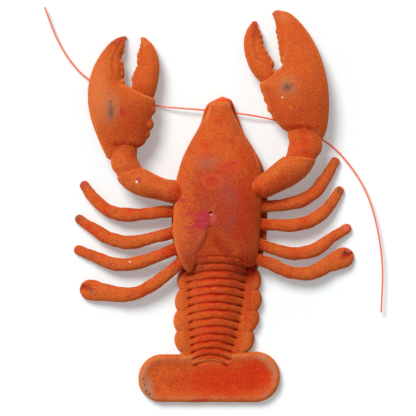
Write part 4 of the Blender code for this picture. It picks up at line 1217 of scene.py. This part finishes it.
def leg_rings(name, path, sides=44, count=120):
    """Rings of a leg, which falls from the belly to the floor. The last pair ends in a cleft pincer."""
    pincer = name.endswith("4")
    widths = curve_rows(PINCER_WIDTHS if pincer else LEG_WIDTHS, 60)
    tip_level = PINCER_TIP_LEVEL if pincer else LEG_TIP_LEVEL
    line = curve_rows(path, 240)
    along = np.concatenate([[0.0], np.cumsum(np.linalg.norm(np.diff(line, axis=0), axis=1))])
    whole, tip = along[-1], widths[-1, 1]
    seed = sum(map(ord, name))

    def at(place):
        return np.array([np.interp(place, along, column) for column in line.T])

    body = [(place, 1.0) for place in np.linspace(0, whole - tip, count)]
    angles = np.linspace(0.12, math.pi / 2 - 0.02, 14)
    end = [(whole - tip + tip * math.sin(angle), math.cos(angle)) for angle in angles]
    rings = []
    for place, factor in body + end:
        share = place / whole
        way = at(place + 1.5) - at(place - 1.5)
        way /= np.linalg.norm(way)
        side = np.array([-way[1], way[0]])
        bumps = 0.05 * noise.noise(Vector((place / 9.0, seed, 0)))
        half = read_off(widths, share) * (1 + 0.035 * math.sin(place / 5.3 + seed) + bumps)
        height = min(half * LEG_FLATNESS, PINCER_HEIGHT) if pincer else half * LEG_FLATNESS
        level = LEG_ROOT_LEVEL + (tip_level - LEG_ROOT_LEVEL) * share**2
        centre = at(place) + side * 0.5 * noise.noise(Vector((place / 14.0, seed, 5)))
        across, rise = side * half * factor, height * factor
        ring = oval(centre - across, centre + across, level, rise, rise, sides, 2.1)
        if pincer:
            near = smoothstep(whole - 15.0, whole - 3.0, place)
            off = ((ring[:, :2] - centre) * side).sum(axis=1)
            ring[:, 2] -= np.where(ring[:, 2] > level, PINCER_CLEFT * near * np.exp(-((off / 1.3) ** 2)), 0)
        ring[:, 2] = np.maximum(ring[:, 2], 0.0)
        rings.append(ring)
    return rings


def tube_rings(points, radius, sides=14, count=220):
    """Rings of a round tube along a smooth line through points."""
    line = curve_rows(points, count)
    angle = turns(sides)
    rings = []
    for k, centre in enumerate(line):
        way = Vector(line[min(k + 1, count - 1)] - line[max(k - 1, 0)]).normalized()
        side = way.cross(Vector((0, 0, 1))).normalized()
        up = np.array(side.cross(way))
        rings.append(centre + radius * (np.outer(np.cos(angle), side) + np.outer(np.sin(angle), up)))
    return capped(rings, radius, radius, 4)


class LOBSTER_OT_shell(bpy.types.Operator):
    """Model the domed shell with its worn patch, small hole and scuffs"""

    bl_idname = "lobster.shell"
    bl_label = "Shell"

    def execute(self, context):
        piece = skin("shell", shell_rings(), folded=0)
        raise_skin(piece, self.relief)
        raise_skin(piece, lumps(context.scene.lobster_sizes.lumps, 6.0))
        finish = flock("shell flock", SHELL_MARKS, SHELL_RED, redness=0.38, rim=0.75, mottle=0.3)
        dressed(piece, finish, "carapace")
        return {"FINISHED"}

    def relief(self, points):
        """The pressed hole with its lip, the ring of the blister and the edge lines of the snout."""
        x, y, z = points.T
        top = smoothstep(24.0, 30.0, z)
        from_hole = np.hypot(x - HOLE[0], y - HOLE[1])
        height = -1.6 * np.exp(-((from_hole / 1.1) ** 2)) * top
        height += 0.3 * np.exp(-((from_hole - 2.1) / 0.7) ** 2) * top
        from_blister = np.hypot((x - BLISTER[0]) / 1.25, y - BLISTER[1])
        ring = 0.4 * np.exp(-(((from_blister - 6.0) / 1.3) ** 2))
        height += (ring - 0.25 * np.exp(-((from_blister / 3.5) ** 2))) * top
        edge = z - (shell_height(SNOUT_MIDDLE + 0 * x, y) - 3.2)
        height += 0.5 * smoothstep(62.0, 84.0, y) * np.exp(-(edge**2)) * (z > 18)
        return height


class LOBSTER_OT_belly(bpy.types.Operator):
    """Model the belly that shows round the shell, with the peaked lower lip"""

    bl_idname = "lobster.belly"
    bl_label = "Belly"

    def execute(self, context):
        rings = []
        for y, left, right, depth in curve_rows(BELLY_ROWS, 150):
            ring = oval((left, y), (right, y), BELLY_SEAM, 2.4, depth, 96, 2.6)
            peak = smoothstep(80.0, 92.0, y) * np.where(ring[:, 2] > BELLY_SEAM, LIP_PEAK, 0)
            ring[:, 2] += peak * np.exp(-(((ring[:, 0] - LIP_MIDDLE) / 8.0) ** 2))
            ring[:, 2] = np.maximum(ring[:, 2], 0.0)
            rings.append(ring)
        piece = skin("belly_skin", rings)
        raise_skin(piece, lumps(context.scene.lobster_sizes.lumps, 6.0, 3.0))
        dressed(piece, flock("belly flock", BELLY_MARKS, redness=0.5), "belly")
        return {"FINISHED"}


class LOBSTER_OT_tail(bpy.types.Operator):
    """Model the ribbed tail with its scalloped sides"""

    bl_idname = "lobster.tail"
    bl_label = "Tail"

    def execute(self, context):
        sizes = context.scene.lobster_sizes
        piece = skin("tail_skin", tail_rings(sizes))
        raise_skin(piece, lumps(sizes.lumps, 6.0, 7.0))
        # Painted shade in the grooves, kept for each point
        store_places(piece, "groove_shade", self.groove_shade)
        dressed(piece, flock("tail flock", TAIL_MARKS, TAIL_RED, redness=0.35, rim=0.5), "tail")
        return {"FINISHED"}

    def groove_shade(self, x, y, z):
        """Painted shade: dark red under the front wall of each groove, which lies in shade, and deepest in
        the pits at its ends.
        """
        middle, v = rib_place(x, y, rows_by_y(TAIL_ROWS))
        groove = groove_at(middle - 0.6, 0.8, 0.0) * (z > 3.0)
        ends = np.exp(-(((np.abs(v) - 0.95) / np.where(v > 0, 0.11, 0.07)) ** 2))
        return groove * np.clip(0.6 * smoothstep(1.02, 0.95, np.abs(v)) + 0.85 * ends, 0, 0.9)


class LOBSTER_OT_fan(bpy.types.Operator):
    """Model the round ended tail fan, which the last ribs run onto"""

    bl_idname = "lobster.fan"
    bl_label = "Tail Fan"

    def execute(self, context):
        sizes = context.scene.lobster_sizes
        piece = skin("fan_skin", fan_rings(sizes), folded=FAN_ARC - 1)
        raise_skin(piece, lumps(0.5, 15.0, 2.0))
        raise_skin(piece, lumps(sizes.lumps, 6.0, 11.0))
        store_places(piece, "dust", self.rim)
        dressed(piece, flock("fan flock", FAN_MARKS, FAN_RED, redness=0.35), "tail_fan")
        return {"FINISHED"}

    def rim(self, x, y, z):
        """Dust round both ends, a little inside the rim, and thinly along the long sides."""
        away = np.maximum(np.maximum(FAN_LEFT[0] - x, x - FAN_RIGHT[0]), 0)
        radius = np.where(x < 0, FAN_LEFT[2], FAN_RIGHT[2])
        inset = radius - np.hypot(away, y - np.where(x < 0, FAN_LEFT[1], FAN_RIGHT[1]))
        band = np.exp(-(((inset - 4.2) / 2.6) ** 2)) * smoothstep(5.0, 8.0, z)
        ends = 0.2 + np.where(x < 0, 0.65, 0.4) * smoothstep(2.0, 14.0, away)
        ends += 0.4 * smoothstep(30.0, 50.0, x) * smoothstep(-158.0, -140.0, y)
        return np.clip(band * ends, 0, 0.6)


class LOBSTER_OT_claws(bpy.types.Operator):
    """Model both palms with their fixed fingers, teeth and knobs"""

    bl_idname = "lobster.claws"
    bl_label = "Claws"

    def execute(self, context):
        sizes = context.scene.lobster_sizes
        left_look, right_look = (LEFT_CLAW_MARKS, LEFT_CLAW_RED), (RIGHT_CLAW_MARKS, RIGHT_CLAW_RED)
        for name, rows, teeth, ledge, top, look in (
            ("claw_left", LEFT_CLAW, LEFT_CLAW_TEETH, LEFT_CLAW_LEDGE, 0.64, left_look),
            ("claw_right", RIGHT_CLAW, RIGHT_CLAW_TEETH, RIGHT_CLAW_LEDGE, 0.5, right_look),
        ):
            piece = skin(name + "_skin", limb(rows, 130, 72, 1.6, 2.4, ledge))
            fuse(piece, [tooth(rows, *place, sizes.tooth_height, top) for place in teeth], 0.62)
            raise_skin(piece, lumps(sizes.lumps, 6.0, rows[0][0]))
            dressed(piece, flock(name + " flock", *look, redness=0.14, mottle=0.35), name)
        return {"FINISHED"}


class LOBSTER_OT_thumbs(bpy.types.Operator):
    """Model both movable fingers with their teeth"""

    bl_idname = "lobster.thumbs"
    bl_label = "Thumbs"

    def execute(self, context):
        sizes = context.scene.lobster_sizes
        for name, rows, teeth, ledge, top, marks in (
            ("thumb_left", LEFT_THUMB, LEFT_THUMB_TEETH, None, 0.5, LEFT_THUMB_MARKS),
            ("thumb_right", RIGHT_THUMB, RIGHT_THUMB_TEETH, RIGHT_THUMB_LEDGE, 0.68, RIGHT_THUMB_MARKS),
        ):
            piece = skin(name + "_skin", limb(rows, 90, 60, 3.0, 2.4, ledge))
            fuse(piece, [tooth(rows, *place, sizes.tooth_height, top) for place in teeth], 0.55)
            raise_skin(piece, lumps(sizes.lumps, 5.0, rows[0][0]))
            dressed(piece, flock(name + " flock", marks, redness=0.22, mottle=0.4), name)
        return {"FINISHED"}


class LOBSTER_OT_arms(bpy.types.Operator):
    """Model the upper arms and the wrists with their cuffs"""

    bl_idname = "lobster.arms"
    bl_label = "Arms"

    def execute(self, context):
        sizes = context.scene.lobster_sizes
        for name, rows, cuff, waist, marks, red in (
            ("arm_left", LEFT_ARM, 0.9, 0.0, LEFT_ARM_MARKS, LEFT_ARM_RED),
            ("arm_right", RIGHT_ARM, 0.9, 0.0, RIGHT_ARM_MARKS, RIGHT_ARM_RED),
            ("wrist_left", LEFT_WRIST, 0.0, 1.2, LEFT_WRIST_MARKS, LEFT_WRIST_RED),
            ("wrist_right", RIGHT_WRIST, 0.0, 1.2, RIGHT_WRIST_MARKS, RIGHT_WRIST_RED),
        ):
            piece = skin(name + "_skin", limb(rows, 110, 84, 4.0, 2.0, None, cuff, waist))
            raise_skin(piece, lumps(sizes.lumps * 1.4, 7.0, rows[0][0]))
            dressed(piece, flock(name + " flock", marks, red, redness=0.33, rim=0.6, mottle=0.5), name)
        return {"FINISHED"}


class LOBSTER_OT_legs(bpy.types.Operator):
    """Model the eight tube legs, the last pair with pincer tips"""

    bl_idname = "lobster.legs"
    bl_label = "Legs"

    def execute(self, context):
        amount = context.scene.lobster_sizes.leg_lumps
        for name, path in LEG_PATHS.items():
            piece = skin(name + "_skin", leg_rings(name, path))
            raise_skin(piece, lumps(amount, 6.5, path[0][1]))
            raise_skin(piece, lumps(amount * 0.5, 2.8, path[0][1]))
            x, y = np.array(path[0]) * 0.55 + np.array(path[1]) * 0.45
            # Painted shade where the leg meets the body
            marks = (("deep", x, y, 10.0, 9.0, 0, 0.75), *seen(*LEG_MARKS[name]))
            dressed(piece, flock(name + " flock", marks, redness=0.44, rim=0.3, mottle=0.6), name)
        return {"FINISHED"}


class LOBSTER_OT_feelers(bpy.types.Operator):
    """Model the two springy plastic feelers"""

    bl_idname = "lobster.feelers"
    bl_label = "Feelers"

    def execute(self, context):
        plastic, shader, place = new_material("feeler plastic", Coat_Weight=0.3)
        streaks = 0.9 + place.grain(9.0, rough=0.5) * 0.2
        wire(shader, "Base Color", shaded(context.scene.lobster_colours.feeler, streaks))
        wire(shader, "Roughness", 0.28 + place.grain(3.0, rough=0.5) * 0.2)
        for name, points in (("feeler_left", LEFT_FEELER), ("feeler_right", RIGHT_FEELER)):
            piece = skin(name + "_skin", tube_rings(points, context.scene.lobster_sizes.feeler_radius))
            dressed(piece, plastic, name, slot="filament")
        return {"FINISHED"}


class LOBSTER_OT_stage(bpy.types.Operator):
    """Set the pale floor, the soft light from the upper left and the camera straight above"""

    bl_idname = "lobster.stage"
    bl_label = "Stage"

    def execute(self, context):
        scene = context.scene
        bm = bmesh.new()
        bmesh.ops.create_grid(bm, x_segments=1, y_segments=1, size=FLOOR_SIDE / 2)
        floor = linked("floor", bm)
        paper, _, _ = new_material(
            "floor paper", Base_Color=(*scene.lobster_colours.floor, 1.0), Emission_Color=WHITE,
            Emission_Strength=FLOOR_GLOW, Roughness=0.9, Specular_IOR_Level=0.1,
        )
        floor.data.materials.append(paper)

        world = bpy.data.worlds.new("studio")
        world.use_nodes = True
        light = world.node_tree.nodes["Background"].inputs
        light["Color"].default_value = WHITE
        light["Strength"].default_value = ROOM_LIGHT
        scene.world = world

        key = bpy.data.lights.new("key", "SUN")
        key.energy = KEY_LIGHT
        key.angle = math.radians(KEY_SPREAD)
        key.color = KEY_COLOUR
        lamp = bpy.data.objects.new("key", key)
        lamp.rotation_euler = Vector(KEY_WAY).to_track_quat("-Z", "Y").to_euler()
        scene.collection.objects.link(lamp)

        camera = bpy.data.cameras.new("camera")
        camera.lens = CAMERA_LENS
        camera.sensor_width = CAMERA_SENSOR
        camera.clip_end = CAMERA_REACH
        eye = bpy.data.objects.new("camera", camera)
        x, y = px(PHOTO_SIDE / 2, PHOTO_SIDE / 2)
        eye.location = (x * MM, y * MM, PHOTO_SIDE * PIXEL * MM * CAMERA_LENS / CAMERA_SENSOR)
        scene.collection.objects.link(eye)
        scene.camera = eye
        scene.view_settings.view_transform = "Standard"
        return {"FINISHED"}


STEPS = (
    LOBSTER_OT_shell,
    LOBSTER_OT_belly,
    LOBSTER_OT_tail,
    LOBSTER_OT_fan,
    LOBSTER_OT_claws,
    LOBSTER_OT_thumbs,
    LOBSTER_OT_arms,
    LOBSTER_OT_legs,
    LOBSTER_OT_feelers,
    LOBSTER_OT_stage,
)


class LOBSTER_PT_panel(bpy.types.Panel):
    """Lists the lobster's pieces, sizes and colours"""

    bl_idname = "LOBSTER_PT_panel"
    bl_label = "Flocked Lobster"
    bl_space_type = "VIEW_3D"
    bl_region_type = "UI"
    bl_category = "Lobster"

    def draw(self, context):
        for group in (context.scene.lobster_sizes, context.scene.lobster_colours):
            box = self.layout.box()
            for key in group.__annotations__:
                box.prop(group, key)
        for step in STEPS:
            self.layout.operator(step.bl_idname)


CLASSES = (LobsterSizes, LobsterColours, *STEPS, LOBSTER_PT_panel)


def register():
    for cls in CLASSES:
        bpy.utils.register_class(cls)
    bpy.types.Scene.lobster_sizes = bpy.props.PointerProperty(type=LobsterSizes)
    bpy.types.Scene.lobster_colours = bpy.props.PointerProperty(type=LobsterColours)


def unregister():
    del bpy.types.Scene.lobster_colours
    del bpy.types.Scene.lobster_sizes
    for cls in reversed(CLASSES):
        bpy.utils.unregister_class(cls)


def main():
    register()
    bpy.ops.lobster.shell()
    bpy.ops.lobster.belly()
    bpy.ops.lobster.tail()
    bpy.ops.lobster.fan()
    bpy.ops.lobster.claws()
    bpy.ops.lobster.thumbs()
    bpy.ops.lobster.arms()
    bpy.ops.lobster.legs()
    bpy.ops.lobster.feelers()
    bpy.ops.lobster.stage()


if __name__ == "__main__":
    main()
